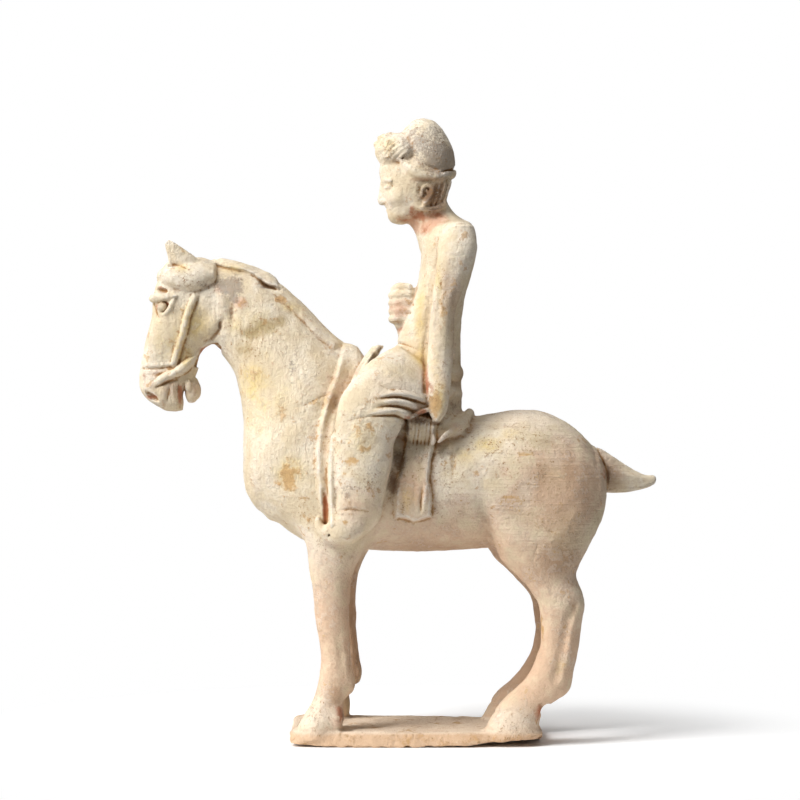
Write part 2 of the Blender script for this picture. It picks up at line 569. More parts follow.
# The saddle is one block of clay: a seat, an upright pommel with a rolled rim, a padded rim behind,
# and the saddle cloth under it, whose border hangs down in front of the rider's legs.
SEAT = [
    (-28, 175, -27, 216, 12),
    (-18, 170, -18, 205, 24),
    (0, 165, 0, 190, 36),
    (20, 163, 20, 186, 37),
    (34, 165, 36, 183, 31),
    (37, 167, 39, 182, 26),
]
mass(SEAT, 2, domes=(3, 2.4))
WITHERS = [(-40, 170, -36, 219.5, 14), (-27, 175, -26, 220.5, 15), (-18, 170, -17, 206, 24)]
mass(WITHERS, 5, domes=(3, 2))
# The cloth's front border, with a turned edge and a groove behind it.
BORDER = [
    (-30.5, 221), (-32.5, 211), (-36, 200), (-39.6, 190), (-43.2, 176), (-45, 163), (-44.6, 150),
    (-43, 138), (-41.6, 130), (-40.5, 124), (-36.5, 122),
]
patch([*BORDER, (-24, 121), (-18, 190), (-14, 221)], 1.8, 3.4, from_y=2)
press([(x + 1.6, z, 2.4, 0.5) for x, z in BORDER[1:9]], from_y=5)
press([(x + 4.8, z, 2.6, -0.7) for x, z in BORDER[3:8]], from_y=5)
press([(-27.4, 205, 2.6, -0.4), (-33, 190, 2.6, -0.7), (-35.6, 183, 2, -0.4)], from_y=5)
press([
    (-41, 141, 1.5, -0.9), (-40, 134, 2.3, -2.6), (-39.4, 126, 2.2, -2.4), (-39.8, 121, 1.6, -1.4),
], -1, 5)
for side in (-1, 1):
    # The border's lower end curls up.
    lobe = [(-44, 39.5, 124.4, 1.6), (-43, 40, 120, 2.8), (-40.8, 40.4, 117.4, 2.6), (-38, 40.4, 115.4, 1.8)]
    stroke(lobe, 1.2, side)
# The pommel is a board, with a rolled rim, a second board behind it and a gap before the lap.
egg((-23.6, 0, 200), (2.2, 34, 22.5), 1, 32)
for side in (-1, 1):
    arch = [
        (-12.6, 0, 219, 2.5), (-14, 9, 217, 2.5), (-17.6, 19, 211.4, 2.3), (-21.4, 28, 205.2, 1.9),
        (-24.4, 33.6, 199.8, 1.4),
    ]
    stroke(arch, 0.8, side)
    board = [(-10.6, 0, 219.8, 2), (-12, 9, 217.8, 2.1), (-15.6, 19, 212, 2), (-19.4, 28, 205.8, 1.6)]
    stroke(board, 0.8, side)
    gap = [
        (-6.8, 9, 219.4, 1.5), (-9.8, 17, 214, 1.7), (-13.4, 25, 209.8, 1.5), (-17.4, 31, 205.4, 1.1),
        (-21.4, 35, 201, 0.7),
    ]
    stroke(gap, 0.6, side, carve)
    rim = [
        (39.8, 0, 182.4, 2.5), (38.8, 14, 181.4, 2.4), (34.8, 26.5, 178, 2.3), (29.4, 35, 173.4, 2.1),
        (25, 39.4, 169.8, 1.6), (22, 39.4, 167, 0.9),
    ]
    stroke(rim, 2.2, side)
    under = [(38.4, 24, 174, 0.5), (34, 33, 170, 0.8), (28.6, 39, 165.8, 0.8), (24, 42.6, 162.4, 0.5)]
    stroke(under, 1, side, carve)
    fill = [(-34.8, 43, 168, 1.8), (-34.4, 44.2, 152, 2.8), (-34.4, 44.4, 138, 2.8), (-35, 42.6, 126, 1.8)]
    stroke(fill, 2.4, side)
place, x, y, z = window((-19, -8, 214), (-4, 8, 226))
arch_top = 219.8 + 0.36 * (x + 11) + 0.03 * y * y  # the arch is sliced off on a slope, hollow across
carve(place, arch_top - z, 0.7)
# Two seams along the padded rim.
press([(37.6, 185.6, 1.1, -0.3), (32, 181.6, 1.3, -0.6), (24, 174.6, 1.2, -0.5)], from_y=8)
press([(33.4, 184.6, 1, -0.3), (28.6, 181.4, 1.2, -0.5), (22, 176.4, 1, -0.4)], from_y=8)


# A gathered panel of the saddle cloth hangs behind each leg: deep pleats at the top, fading down, a
# thicker turned edge behind, and a hem that stands off the flank.
PANEL = [
    (5, 182), (21.2, 180), (20, 168), (17.6, 156), (17, 145), (18, 134), (18, 126), (8, 124.4),
    (-1.6, 125.6), (-2.2, 134), (-1.3, 144), (2.3, 156), (4.6, 168),
]
patch(PANEL, 3.2, 2.6, from_y=20, waver=0.9)
PANEL_FOLDS = [
    [(18.6, 176, 2, 0.2), (16.6, 162, 2, 0.3), (14.6, 150, 2, 0.3), (15.4, 130, 2, 0.2)],
    [(12.8, 142, 1, -0.5), (12.2, 135, 1.2, -1), (12.2, 128.6, 1, -0.4)],
    [(15, 143, 1.4, 0.4), (14.6, 137, 1.7, 0.9), (13.6, 129.6, 1.3, 0.5)],
    [(9, 148, 1.2, -0.2), (8.4, 139, 1.3, -0.4), (8.8, 129, 1.1, -0.3)],
    [(3.6, 146, 1.4, -0.2), (2.6, 137, 1.5, -0.5), (3, 127, 1.2, -0.4)],
    [(-1.2, 128, 1.5, 0.4), (8, 126.8, 1.5, 0.3), (17.6, 127.8, 1.5, 0.4)],
]
for side in (-1, 1):
    for n in range(6):
        top = 7.4 + 2.1 * n
        deep = 0.65 + 0.3 * (n * 7 % 3) / 2
        pleat = [(top, 182, 1, -deep), (top - 0.5, 174, 1, -deep), (top - 1.6, 165, 0.9, -0.7 * deep)]
        press([*pleat, (top - 2.6, 157 - 3 * (n % 2), 0.9, -0.2)], side, 20)
    for fold in PANEL_FOLDS:
        press(fold, side, 20)
# A scratch runs down the flank behind the panel.
press([(29.6, 166, 1, -0.2), (30.6, 157, 1.2, -0.5), (29, 148, 1, -0.3)], from_y=25)


# The rider's legs grip the saddle: loose trousers creased behind the knee, straight shins, and small
# boots whose toes point forward under the cloth's border.
SHIN_Y = 46.0
LEG = [
    (-1, 220, 32, 194, 13, 18),
    (-10, 214.5, 21, 186, 14, 29),
    (-19.4, 205.7, 10, 181.5, 13, 38),
    (-27.2, 197, 5, 178.5, 12, 42.5),
    (-32.4, 187.5, 2.5, 174.5, 11, SHIN_Y - 1),
    (-34, 174, -2, 168, 10.5, SHIN_Y),
    (-34.2, 160.5, -4, 159, 10.5, SHIN_Y + 0.6),
    (-33.8, 146.7, -5.8, 146.7, 10.4, SHIN_Y + 0.6),
    (-33.6, 135, -8.2, 134, 9.5, SHIN_Y),
    (-36.4, 125.4, -9.7, 125.4, 8.5, SHIN_Y - 2),
    (-41.2, 118.5, -15.5, 118.5, 7.5, SHIN_Y - 5),
    (-40.7, 113.5, -23.2, 113, 6, SHIN_Y - 6),
]
ROLLS = [
    [(-12, 191.6, 1.8, 0.3), (-1.3, 193.2, 2.4, 1.2), (7.8, 191.8, 2.4, 1.3), (13.4, 189.8, 2, 0.9)],
    [
        (-14, 188, 1.8, 0.2), (-4.3, 189, 2.3, 1.1), (1.7, 188.9, 2.4, 1.3), (7.2, 187.1, 2.2, 1.2),
        (10.6, 185, 1.8, 0.8),
    ],
    [
        (-16, 182.6, 1.8, 0.2), (-7.3, 183.7, 2.2, 0.9), (-1.3, 184, 2.3, 1.1), (3.6, 182.2, 2.1, 1),
        (6.4, 180, 1.7, 0.7),
    ],
]
CREASES = [
    [
        (-9, 190.6, 1.1, -0.3), (-4.3, 191.2, 1.3, -0.8), (1.7, 191, 1.4, -1.2), (9.6, 189.1, 1.5, -1.5),
        (14, 187.6, 1.3, -1),
    ],
    [(-12, 185.6, 1.1, -0.3), (-4, 186.4, 1.3, -0.9), (4.8, 185, 1.4, -1.3), (9.6, 182.4, 1.3, -1.2)],
    [
        (-28, 178.4, 1, -0.3), (-17, 180.6, 1.1, -0.5), (-7.3, 181.2, 1.2, -0.9), (-1.3, 181, 1.3, -1),
        (3.8, 178.8, 1.3, -1),
    ],
    [(-13, 201, 1, -0.1), (-8, 196.6, 1.3, -0.4), (-2, 195.4, 1.1, -0.3)],
    [(-33, 128.9, 1.3, -0.4), (-26.6, 130.8, 1.6, -0.7), (-16.3, 129.4, 1.4, -0.5)],
]
for side in (-1, 1):
    mass(LEG, 3.4, domes=(2, 1.5), side=side, full=0.9)
    for line in ROLLS + CREASES:
        press([(x, z, half, 1.3 * rise) for x, z, half, rise in line], side, 30)
    egg((-26.5, side * 47.4, 121.4), (10, 5.4, 7.2), 3, -20)
    # The calf and the front of the shin swell a little.
    press([(-3.4, 163, 3, 0.5), (-4, 156, 3.4, 1.1), (-6.6, 148, 3, 0.5)], side, 40)
    press([(-22, 166, 7, 0.4), (-20, 150, 8, 0.5)], side, 40)
    strap = [(6.6, 45.6, 180, 1.2), (10.8, 44.4, 182.6, 1.6), (15.6, 41.4, 184.4, 1.5)]
    stroke(strap, 0.8, side)
    slot = [(4.6, 47, 177.4, 1), (9, 45.4, 178.4, 1.6), (15, 42, 180.6, 1.4)]
    stroke(slot, 0.6, side, carve)
    behind = [
        (6.6, 43.5, 174, 2.2), (2.6, 45.5, 164, 2.9), (-0.4, 46.1, 152, 2.9), (-3.2, 45.5, 140, 2.3),
        (-6.6, 44.5, 129, 1.3),
    ]
    stroke(behind, 0.8, side, carve)
    heel = [(-26.4, 43, 111.4, 0.8), (-22.4, 44, 112.8, 1.3), (-18.6, 45, 114.4, 0.8)]
    stroke(heel, 0.5, side, carve)
# The cloth's border has a second roll along the shin.
INNER_ROLL = [
    (-35.4, 176, 1.8, 0.3), (-36, 166, 2.2, 0.9), (-36.8, 154, 2.3, 1.2), (-36.7, 142, 2.2, 1.4),
    (-36.3, 131.3, 2.2, 1.4), (-36.2, 122.3, 2, 1.1),
]
press(INNER_ROLL, from_y=30)
# A small hole at the border's end.
egg((-37.2, -43, 116.6), (1.5, 4, 1), 0.4, -40, carve)


# The rider's upper body: a tight coat, narrow at the waist, one long sleeve hanging empty over the
# hand on the left, the right arm bent with its fist held up in front of the chest.
WAIST_HALF = 20.0
TORSO = [
    (-6, 182, 36, 181, 1.3),
    (-7, 200, 35, 199, 1.2),
    (-1, 221, 34.5, 215, 1),
    (2, 234, 35, 231, 0.96),
    (9, 250, 37, 247, 1.06),
    (12, 263, 41, 261, 1.18),
    (13, 275, 44, 275, 1.28),
    (15, 284, 41, 287, 1.08),
]
mass(TORSO, 2.4, WAIST_HALF, domes=(2, 4), full=0.96)
THROAT = [
    (13, 275, 39, 287, 14),
    (8.5, 285, 31.5, 294.5, 9.4),
    (4, 291, 27.5, 301, 8.6),
    (2, 299, 27, 307, 9.2),
]
mass(THROAT, 5)
UPPER_ARM = [
    (23.4, 283, 42, 284, 8.5, 22.5),
    (21.5, 271, 43, 273, 9.5, 26.5),
    (19.5, 255.5, 38.5, 256.5, 8.5, 28),
]
SLEEVE = [
    (17.6, 239, 31.2, 239, 8, 28),
    (15.8, 219.5, 30, 219.5, 7.8, 29),
    (15, 205, 29.2, 203, 7.4, 32.4),
    (14.8, 193, 27.8, 191, 6.6, 36.4),
    (16.6, 183, 25.8, 182.4, 5.6, 39),
    (18.8, 178.8, 23.4, 178.6, 4, 40.4),
]
mass(UPPER_ARM + SLEEVE, 1.4, domes=(3.6, 1.8), side=-1, full=0.9)
mass(UPPER_ARM + [(19, 241, 36, 239, 8, 28.5), (20, 233, 33, 231, 7, 28.5)], 1.6, domes=(3.6, 3), full=0.92)
for side in (-1, 1):
    egg((32, side * 21.5, 278.5), (9.4, 8.4, 8.6), 3)
FOREARM = [(27, 29, 238, 7.2), (20, 25.5, 240.5, 8.2), (12, 16.5, 242, 7.6), (6, 8, 244.5, 5.6)]
stroke(FOREARM, 2)
for side in (-1, 1):
    armpit = [(21.6, 268, 2, -0.3), (19.6, 258, 2.4, -0.7), (17.4, 244, 2.5, -0.7), (15.2, 226, 2.3, -0.7)]
    press([*armpit, (14, 208, 1.9, -0.9), (14, 194, 1.7, -1.2)] if side < 0 else armpit, side, 14)
# Long folds down the sleeve.
press([(24, 262, 1.6, -0.4), (22.6, 246, 1.6, -0.5), (20.6, 226, 1.6, -0.4)], -1, 32)
press([(31.4, 250, 2, -0.3), (28.4, 230, 2, -0.5), (26.4, 208, 2, -0.4)], -1, 32)
HEM = [(-5.2, 221.6, 1, -0.5), (0, 221.4, 1.1, -0.8), (6, 219.6, 1.1, -0.8), (13.5, 216, 1, -0.6)]
press(HEM)
LAPEL = [
    (11, 3, 274, 0.8), (7.6, -1.2, 262, 0.9), (4.4, -3.3, 250, 0.9), (0.6, -3.65, 236, 0.8),
    (-2.4, -2.6, 224, 0.6),
]
stroke(LAPEL, 0.8, work=carve)
# The coat bunches into rolls behind, with grooves between them and upright folds.
for z, reach, thick in ((215.4, 31, 4.2), (204.6, 32.4, 5.2), (192.6, 32.4, 4.8)):
    gather = [
        (24, -21, z, 3), (reach - 3, -13, z, thick), (reach - 1.4, 0, z, thick),
        (reach - 3, 13, z, thick), (24, 21, z, 3),
    ]
    stroke(gather, 0.8)
for z in (212, 198.4):
    parted = [
        (18, -25.4, z, 0.6), (26, -21.4, z, 1), (32.4, -15.4, z + 0.4, 1.2), (36.4, -6, z, 1.2),
        (36.9, 0, z, 1.1),
    ]
    parted += [(x, -y, z, r) for x, y, z, r in parted[-2::-1]]
    stroke(parted, 0.7, work=carve)
for y in (-9, -3, 3, 9):
    stroke([(36.6, y, 211, 0.6), (38, 0.9 * y, 205, 0.9), (37.6, 0.9 * y, 194, 0.8)], 0.8, work=carve)


# The fist shows four curled fingers, one above another, parted with the edge of a tool, and the thumb
# laid over the top; the cuff is a torn stump of clay below.
FIST = [
    (-0.5, 228, 7, 228, 4.6), (-3.8, 236, 11, 236, 8), (-4.8, 244, 12, 244, 8.8),
    (-2.4, 250.4, 13, 250.4, 7.4),
]
mass(FIST, 1.5, domes=(2.5, 2.5), full=0.85)
for n in range(4):
    z = 235.2 + 4.4 * n
    finger = [(6, -7.4, z + 0.4, 1.9), (-1, -6.2, z, 2.2), (-3.6, -2, z - 0.2, 2.3), (-3.4, 3, z - 0.4, 2.1)]
    stroke(finger, 1.6)
for n in range(3):
    z = 237.4 + 4.4 * n
    parting = [(9, -10.6, z + 0.8, 0.5), (-1.6, -9.2, z, 0.8), (-6, -4, z, 0.8), (-5.8, 4, z - 0.3, 0.6)]
    stroke(parting, 0.6, work=carve)
# The thumb.
stroke([(6, -6, 252.4, 2.2), (1, -4.6, 252.8, 2.4), (-2.6, -2, 251.6, 2.1)], 0.8)


# The rider's head is bowed. The face is calm and plain, laid out by thirds from the chin to the brow
# and the hair line: eyes level and half closed, a straight nose, closed lips and a round chin.
CHEEK_HALF = 14.5
FACE = 30.0  # from the chin to the hair line
BOW = math.radians(12)
CHIN = (-4.4, 290.4)
SKULL = [
    (-4, 290.8, 4, 288.6, 0.34),
    (-5.8, 294.5, 10, 291, 0.6),
    (-7.2, 300, 20, 296.6, 0.8),
    (-8.8, 306.5, 26, 303, 0.93),
    (-10.2, 313, 29, 310, 1),
    (-11, 319, 30, 316, 0.98),
    (-9, 325, 29.4, 321, 0.9),
]
mass(SKULL, 2, CHEEK_HALF, domes=(1.6, 4), lean=0.1)


def on_face(forward, aside, up):
    """A place on the face from its distance in front of the chin's plane, its distance aside, and its
    height above the chin as a share of the face, turned forward by the head's bow."""
    rise = up * FACE
    x = CHIN[0] - forward * math.cos(BOW) - rise * math.sin(BOW)
    return x, aside, CHIN[1] - forward * math.sin(BOW) + rise * math.cos(BOW)


def face_stroke(points, melt, work=lay):
    """The same roll on both halves of the face."""
    for side in (-1, 1):
        stroke([(*on_face(f, a, u), r) for f, a, u, r in points], melt, side, work)


# The nose with its wings and nostrils.
NOSE = [(0, 0.68, 1.2), (1, 0.58, 1.4), (2.4, 0.44, 1.8), (2.6, 0.38, 2.1)]
stroke([(*on_face(f, 0, u), r) for f, u, r in NOSE], 1.6)
face_stroke([(0.6, 1.9, 0.36, 1.3), (-0.6, 2.6, 0.37, 1)], 0.8)
face_stroke([(1, 1.3, 0.325, 0.5), (0, 1.6, 0.33, 0.5)], 0.4, carve)
# The brows, the hollows under them, the eyes and the cheeks.
face_stroke([(-0.8, 2.4, 0.72, 0.8), (-1.6, 6.4, 0.735, 1.1), (-4.4, 10.4, 0.7, 0.9)], 1.4)
face_stroke([(-1.4, 3.4, 0.6, 0.9), (-2, 6.2, 0.605, 1.2), (-4.4, 9.2, 0.59, 0.9)], 1.4, carve)
for side in (-1, 1):
    egg(on_face(-3.4, side * 6, 0.59), (2.2, 3.1, 1.9), 0.5)
    egg(on_face(-6.4, side * 7.6, 0.36), (5.4, 5, 4.4), 3)
# The upper lids and the slits under them.
face_stroke([(-1.9, 3.4, 0.585, 0.5), (-0.9, 6, 0.6, 0.65), (-3.2, 9, 0.58, 0.5)], 0.5)
face_stroke([(-1.5, 3.6, 0.562, 0.5), (-0.7, 6, 0.566, 0.55), (-2.8, 8.8, 0.556, 0.5)], 0.3, carve)
# The lips, the line between them, the chin, and the groove under the nose.
face_stroke([(-0.1, 0, 0.266, 1.15), (-0.4, 1.6, 0.272, 1.1), (-1.6, 3.4, 0.252, 0.7)], 0.6)
face_stroke([(-0.2, 0, 0.192, 1.25), (-0.7, 1.6, 0.196, 1.15), (-1.8, 3.2, 0.212, 0.7)], 0.6)
face_stroke([(1.1, 0, 0.23, 0.5), (0.4, 2, 0.232, 0.5), (-1.2, 4, 0.236, 0.5)], 0.3, carve)
egg(on_face(-2.2, 0, 0.06), (3, 4.4, 2.9), 2)
stroke([(*on_face(f, 0, u), 0.4) for f, u in ((0.8, 0.3), (0.6, 0.285))], 0.5, work=carve)


# The hair is drawn up under a high smooth cap over a twisted band, with a rough puffed lock above the
# forehead; the ears lie in a hollow under the band.
CAP = [
    (3, 326, 30.2, 315.5, 1),
    (0.5, 333, 32, 321, 1.08),
    (2.5, 341, 30.5, 330, 1),
    (8, 346, 26, 339, 0.74),
    (13, 347, 21, 345, 0.34),
]
for side in (-1, 1):
    egg((19.4, side * 17, 304.4), (11.6, 5.8, 9), 0.9, -8, carve)
    ear = [
        (13, 12.2, 303.4, 1), (13.4, 12.8, 307, 1.1), (16, 13.2, 309, 1.2), (18.6, 13.2, 307.4, 1.2),
        (18.4, 13, 303.8, 1.1), (16.4, 12.6, 300.6, 1.1), (14.6, 12.4, 299.2, 1.3),
    ]
    stroke(ear, 0.6, side)
    stroke([(15.6, 12.6, 306.2, 0.7), (16.4, 12.6, 303.6, 0.8), (15, 12.4, 301.4, 0.7)], 0.5, side)
    egg((14.8, side * 13.4, 304), (1.2, 1.4, 2.2), 0.4, 0, carve)
    for n in range(4):
        lock = [(20 + 2.9 * n, 13 - n * 1.2, 311, 1.1), (18.4 + 2.8 * n, 12 - n * 1.2, 304.6, 1.2)]
        stroke([*lock, (16.6 + 2.7 * n, 10.6 - n, 298.6, 0.8)], 0.8, side)
    nape = [(10, 11, 297.6, 0.9), (14, 11.4, 296, 1.3), (20, 10.2, 296, 1.4), (26.4, 6.4, 298.6, 1.3)]
    stroke(nape, 2.2, side)
mass(CAP, 1, CHEEK_HALF, domes=(1, 0.8))
for side in (-1, 1):
    band = [
        (-1.4, 10.2, 326, 1.2), (2.6, 12.6, 321.4, 1.7), (7.8, 14.4, 317, 2.8), (14, 14.8, 314.2, 2.6),
        (20.2, 13.6, 313.6, 2.4), (26.4, 9.6, 315, 2.3), (29.6, 0, 316.6, 2.3),
    ]
    stroke(band, 1.8, side)
    groove = [
        (1.4, 14, 333.4, 0.4), (1.2, 14.8, 329, 0.8), (3.6, 16, 324.4, 1), (7.9, 17.4, 320.2, 1.1),
        (12.8, 17.6, 317, 1.1), (17.7, 16.8, 316, 1.1), (23.9, 13.8, 316.2, 1.1), (31.6, 0, 319.4, 1),
    ]
    stroke(groove, 0.6, side, carve)
    under = [
        (5.4, 15.8, 314.2, 0.5), (9.4, 16.6, 312.2, 0.7), (14.6, 16.6, 310.8, 0.8), (21, 15, 310.4, 0.8),
    ]
    stroke([*under, (27, 10.8, 311.6, 0.8), (30.6, 0, 313, 0.7)], 0.5, side, carve)
    part = [(-2.2, 14.4, 317.4, 0.6), (2, 15.2, 315.4, 0.8), (6.6, 15.2, 313.2, 0.7)]
    stroke(part, 0.5, side, carve)
# Strands of hair between the band and the cap.
for n in range(7):
    press([
        (1.4 + 3.4 * n, 324.6 - 3 * min(n, 3), 0.6, -0.2),
        (4.6 + 3.4 * n, 319.4 - 2.4 * min(n, 3), 0.7, -0.4),
    ], from_y=10)
LOCK = (-2.4, 0, 328.6)
for side in (-1, 1):
    egg((3.6, side * 11.6, 328.4), (4.6, 3.4, 4.6), 1.6)
egg(LOCK, (10.2, 12.8, 9.4), 1.6, -30)
LUMPS = 64
lumps = np.random.default_rng(5)
for n in range(LUMPS):
    turn, climb = lumps.uniform(-1.5, 1.5), lumps.uniform(-0.9, 1.5)
    out = math.cos(climb) * math.cos(turn)
    centre = (LOCK[0] - 9 * out, 11.8 * math.sin(turn) * math.cos(climb), LOCK[2] + 8.2 * math.sin(climb))
    egg(centre, (lumps.uniform(2, 3.4), lumps.uniform(0.8, 1.2), lumps.uniform(0.8, 1.1)), 1.8, 50)
egg((1, 0, 330.4), (9.4, 13.8, 8.6), 2.4, -30)
for n in range(5):
    comb = [
        (-10 + 2.6 * n, 326 - n, 0.7, -0.35), (-5 + 2.4 * n, 331.6 - 1.4 * n, 0.8, -0.5),
        (0.6 + 1.6 * n, 334.6 - 2 * n, 0.7, -0.3),
    ]
    press(comb, from_y=4)


# Handling, firing and burial: the wiped clay is never quite even, its edges are knocked, thin lips of
# slip have flaked and small stones have popped out. All of it is cut into the block before the skin.
SKIN = 2.2  # cells this near the surface are changed
UNEVEN = ((0.45, 17, 1), (0.32, 6.5, 2), (0.15, 2.6, 3))  # depth, size of the cubes and seed
skin = np.nonzero(np.abs(clay) < SKIN)
places = VOXEL * (np.stack(skin, -1) + first)
uneven = sum(deep * wander(places, cell, seed) for deep, cell, seed in UNEVEN)
uneven += 0.16 * ramp(places[:, 2], 12, 6) * wander(places, 2.4, 4)
clay[skin] += uneven.astype(np.float32)
del skin, places

KNOCKS = 46
knocks = np.random.default_rng(11)
for n in range(KNOCKS):
    x = knocks.uniform(PLATE_LEFT, PLATE_RIGHT)
    side = knocks.choice((-1, 1))
    size = knocks.uniform(0.5, 1.2)
    on_top = -30 < x < 42 and knocks.random() < 0.25
    z = PLATE_THICK - 0.1 if on_top else 0.3
    egg((x, side * PLATE_HALF, z), (2.2 * size, size, 0.7 * size), 0.8, 0, carve)
CHIPS = [
    (65.2, -44, 158.8, 3.2, 0.9), (69.4, -43.5, 158.2, 1.8, 0.7), (60, -45, 159.6, 1.6, 0.6),
    (37.5, -41, 113.4, 2.4, 0.8), (59, -42, 112.4, 2.6, 1), (-60, -38, 170, 1.2, 0.5),
    (-96, -15, 196, 1.2, 0.7), (-44, -27, 212, 2.4, 0.6), (-118, -13, 247, 1.2, 0.6),
    (-49, -33, 110, 1.8, 0.8), (-46, -34, 97, 1.2, 0.6), (78.5, -37, 82, 1.6, 0.7),
]
for x, y, z, size, deep in CHIPS:
    egg((x, y, z), (size, 1.6 * deep, 0.45 * size), 0.4, 0, carve)
press([
    (-37, 193.5, 0.8, -0.4), (-44, 190.5, 0.8, -0.6), (-51, 187, 0.8, -0.5), (-57, 185, 0.7, -0.3),
], -1, 12)
# Two scratches on the thigh.
press([(80, 121, 0.9, -0.3), (83, 118, 0.9, -0.4), (87, 119.5, 0.8, -0.2)], -1, 20)
press([(76, 112, 0.7, -0.3), (74, 105, 0.7, -0.4)], -1, 20)
BROKEN_JAW = [
    (-112.8, 214), (-108.8, 219), (-105.6, 220.8), (-100.4, 222), (-98, 219.6), (-102, 208), (-114, 208),
]
patch(BROKEN_JAW, -1.3, 0.7)


# The block's skin becomes the mesh, thinned where it is smooth, with its underside flat. Each corner
# keeps how hollow, how sheltered and how exposed its place is, so that dirt can lie where it would.
def soften(block, radius):
    """A running mean over the cells within the radius, along each axis in turn."""
    reach = max(1, round(radius / VOXEL))
    for axis in range(3):
        ends = [(0, 0)] * 3
        ends[axis] = (reach + 1, reach)
        total = np.cumsum(np.pad(block, ends, mode="edge"), axis=axis, dtype=np.float32)
        wide = 2 * reach + 1
        high = [slice(None)] * 3
        low = [slice(None)] * 3
        high[axis], low[axis] = slice(wide, None), slice(None, -wide)
        block = (total[tuple(high)] - total[tuple(low)]) / wide
    return block


def sample(block, points):
    """The block's number at each place, mixed from the eight cells round it by their nearness."""
    grid = points / VOXEL - first
    corner = np.clip(np.floor(grid).astype(int), 0, np.array(block.shape) - 2)
    return between_corners(block, corner, grid - corner)


TRIANGLES = 196000
grid = openvdb.FloatGrid(FAR)
grid.copyFromArray(clay, ijk=tuple(int(v) for v in first))
grid.transform = openvdb.createLinearTransform(voxelSize=VOXEL)
grid.gridClass = openvdb.GridClass.LEVEL_SET
corners, quads = grid.convertToQuads(isovalue=0.0)
quads = quads.astype(np.int64)
faces = np.concatenate([quads[:, [0, 1, 2]], quads[:, [0, 2, 3]]])
group = np.arange(len(corners))  # corners that faces join get one number, and the largest set is kept
roots = group[faces]
while not (roots == roots.min(1, keepdims=True)).all():
    for side in range(3):
        np.minimum.at(group, roots[:, side], roots.min(1))
    while not np.array_equal(group, group[group]):
        group = group[group]
    roots = group[faces]
largest = np.bincount(group).argmax()
faces = faces[group[faces[:, 0]] == largest]
centre = corners[faces].mean(1)
normal = np.cross(corners[faces[:, 1]] - corners[faces[:, 0]], corners[faces[:, 2]] - corners[faces[:, 0]])
normal /= np.linalg.norm(normal, axis=1, keepdims=True) + 1e-9
outwards = np.mean(sample(clay, (centre + normal)[::97]) > 0) > 0.5  # judged on one face in 97
faces = faces if outwards else faces[:, ::-1]


def clay_mesh(name, points, triangles):
    """A mesh from corners in millimetres and triangles, written as whole arrays."""
    used, triangles = np.unique(triangles, return_inverse=True)
    mesh = bpy.data.meshes.new(name)
    mesh.vertices.add(len(used))
    mesh.vertices.foreach_set("co", (points[used] * MM).astype(np.float32).ravel())
    mesh.loops.add(triangles.size)
    mesh.loops.foreach_set("vertex_index", triangles.astype(np.int32).ravel())
    mesh.polygons.add(triangles.size // 3)
    mesh.polygons.foreach_set("loop_start", np.arange(0, triangles.size, 3, dtype=np.int32))
    mesh.polygons.foreach_set("loop_total", np.full(triangles.size // 3, 3, np.int32))
    mesh.update(calc_edges=True)
    mesh.validate()
    return mesh


raw = clay_mesh("raw_clay", corners, faces)
figure = bpy.data.objects.new("horse_and_rider_figure", raw)
bpy.context.scene.collection.objects.link(figure)
thin = figure.modifiers.new("thin", "DECIMATE")
thin.ratio = min(1.0, TRIANGLES / len(faces))
depsgraph = bpy.context.evaluated_depsgraph_get()
finished = bpy.data.meshes.new_from_object(figure.evaluated_get(depsgraph))
figure.modifiers.clear()
figure.data = finished
bpy.data.meshes.remove(raw)
finished.name = "horse_and_rider_figure"
finished.shade_smooth()
spots = np.zeros(len(finished.vertices) * 3, np.float32)
finished.vertices.foreach_get("co", spots)
spots = spots.reshape(-1, 3) / MM
spots[:, 2] = np.maximum(spots[:, 2], 0)
finished.vertices.foreach_set("co", (spots * MM).astype(np.float32).ravel())
finished.update()
print("clay skin:", len(faces), "triangles, thinned to", len(finished.polygons))


def note(name, values):
    """Keeps a number from 0 to 1 at every corner of the figure, for the slip to read."""
    kept_at = finished.attributes.new(name, "FLOAT", "POINT")
    kept_at.data.foreach_set("value", np.clip(values, 0, 1).astype(np.float32))


near_skin = soften(np.clip(clay, -4, 4), 1.3)
note("hollow", -sample(near_skin, spots) / 0.55)
note("exposed", sample(near_skin, spots) / 0.5)
wide_skin = soften(np.clip(clay, -6, 6), 4.5)
note("sheltered", -sample(wide_skin, spots) / 2.4 * np.clip((spots[:, 2] - 8) / 20, 0.15, 1))
del near_skin, wide_skin


# The figure's coat is cream slip, stained by the burial: yellow earth on the neck, face and lap, pinker
# bare clay on the legs and plate, a grey bloom behind the ear, red clay at the throats and in breaks.
def stains(name, eggs):
    """The strongest of several soft eggs at every corner. An egg is its middle, its half sizes and its
    strength, which is multiplied by e to the minus squared distance from the middle, measured in the
    half sizes."""
    total = np.zeros(len(spots))
    for x, y, z, rx, ry, rz, strength in eggs:
        square = (((spots - (x, y, z)) / (rx, ry, rz)) ** 2).sum(1)
        total = np.maximum(total, strength * np.exp(-square))
    note(name, total)


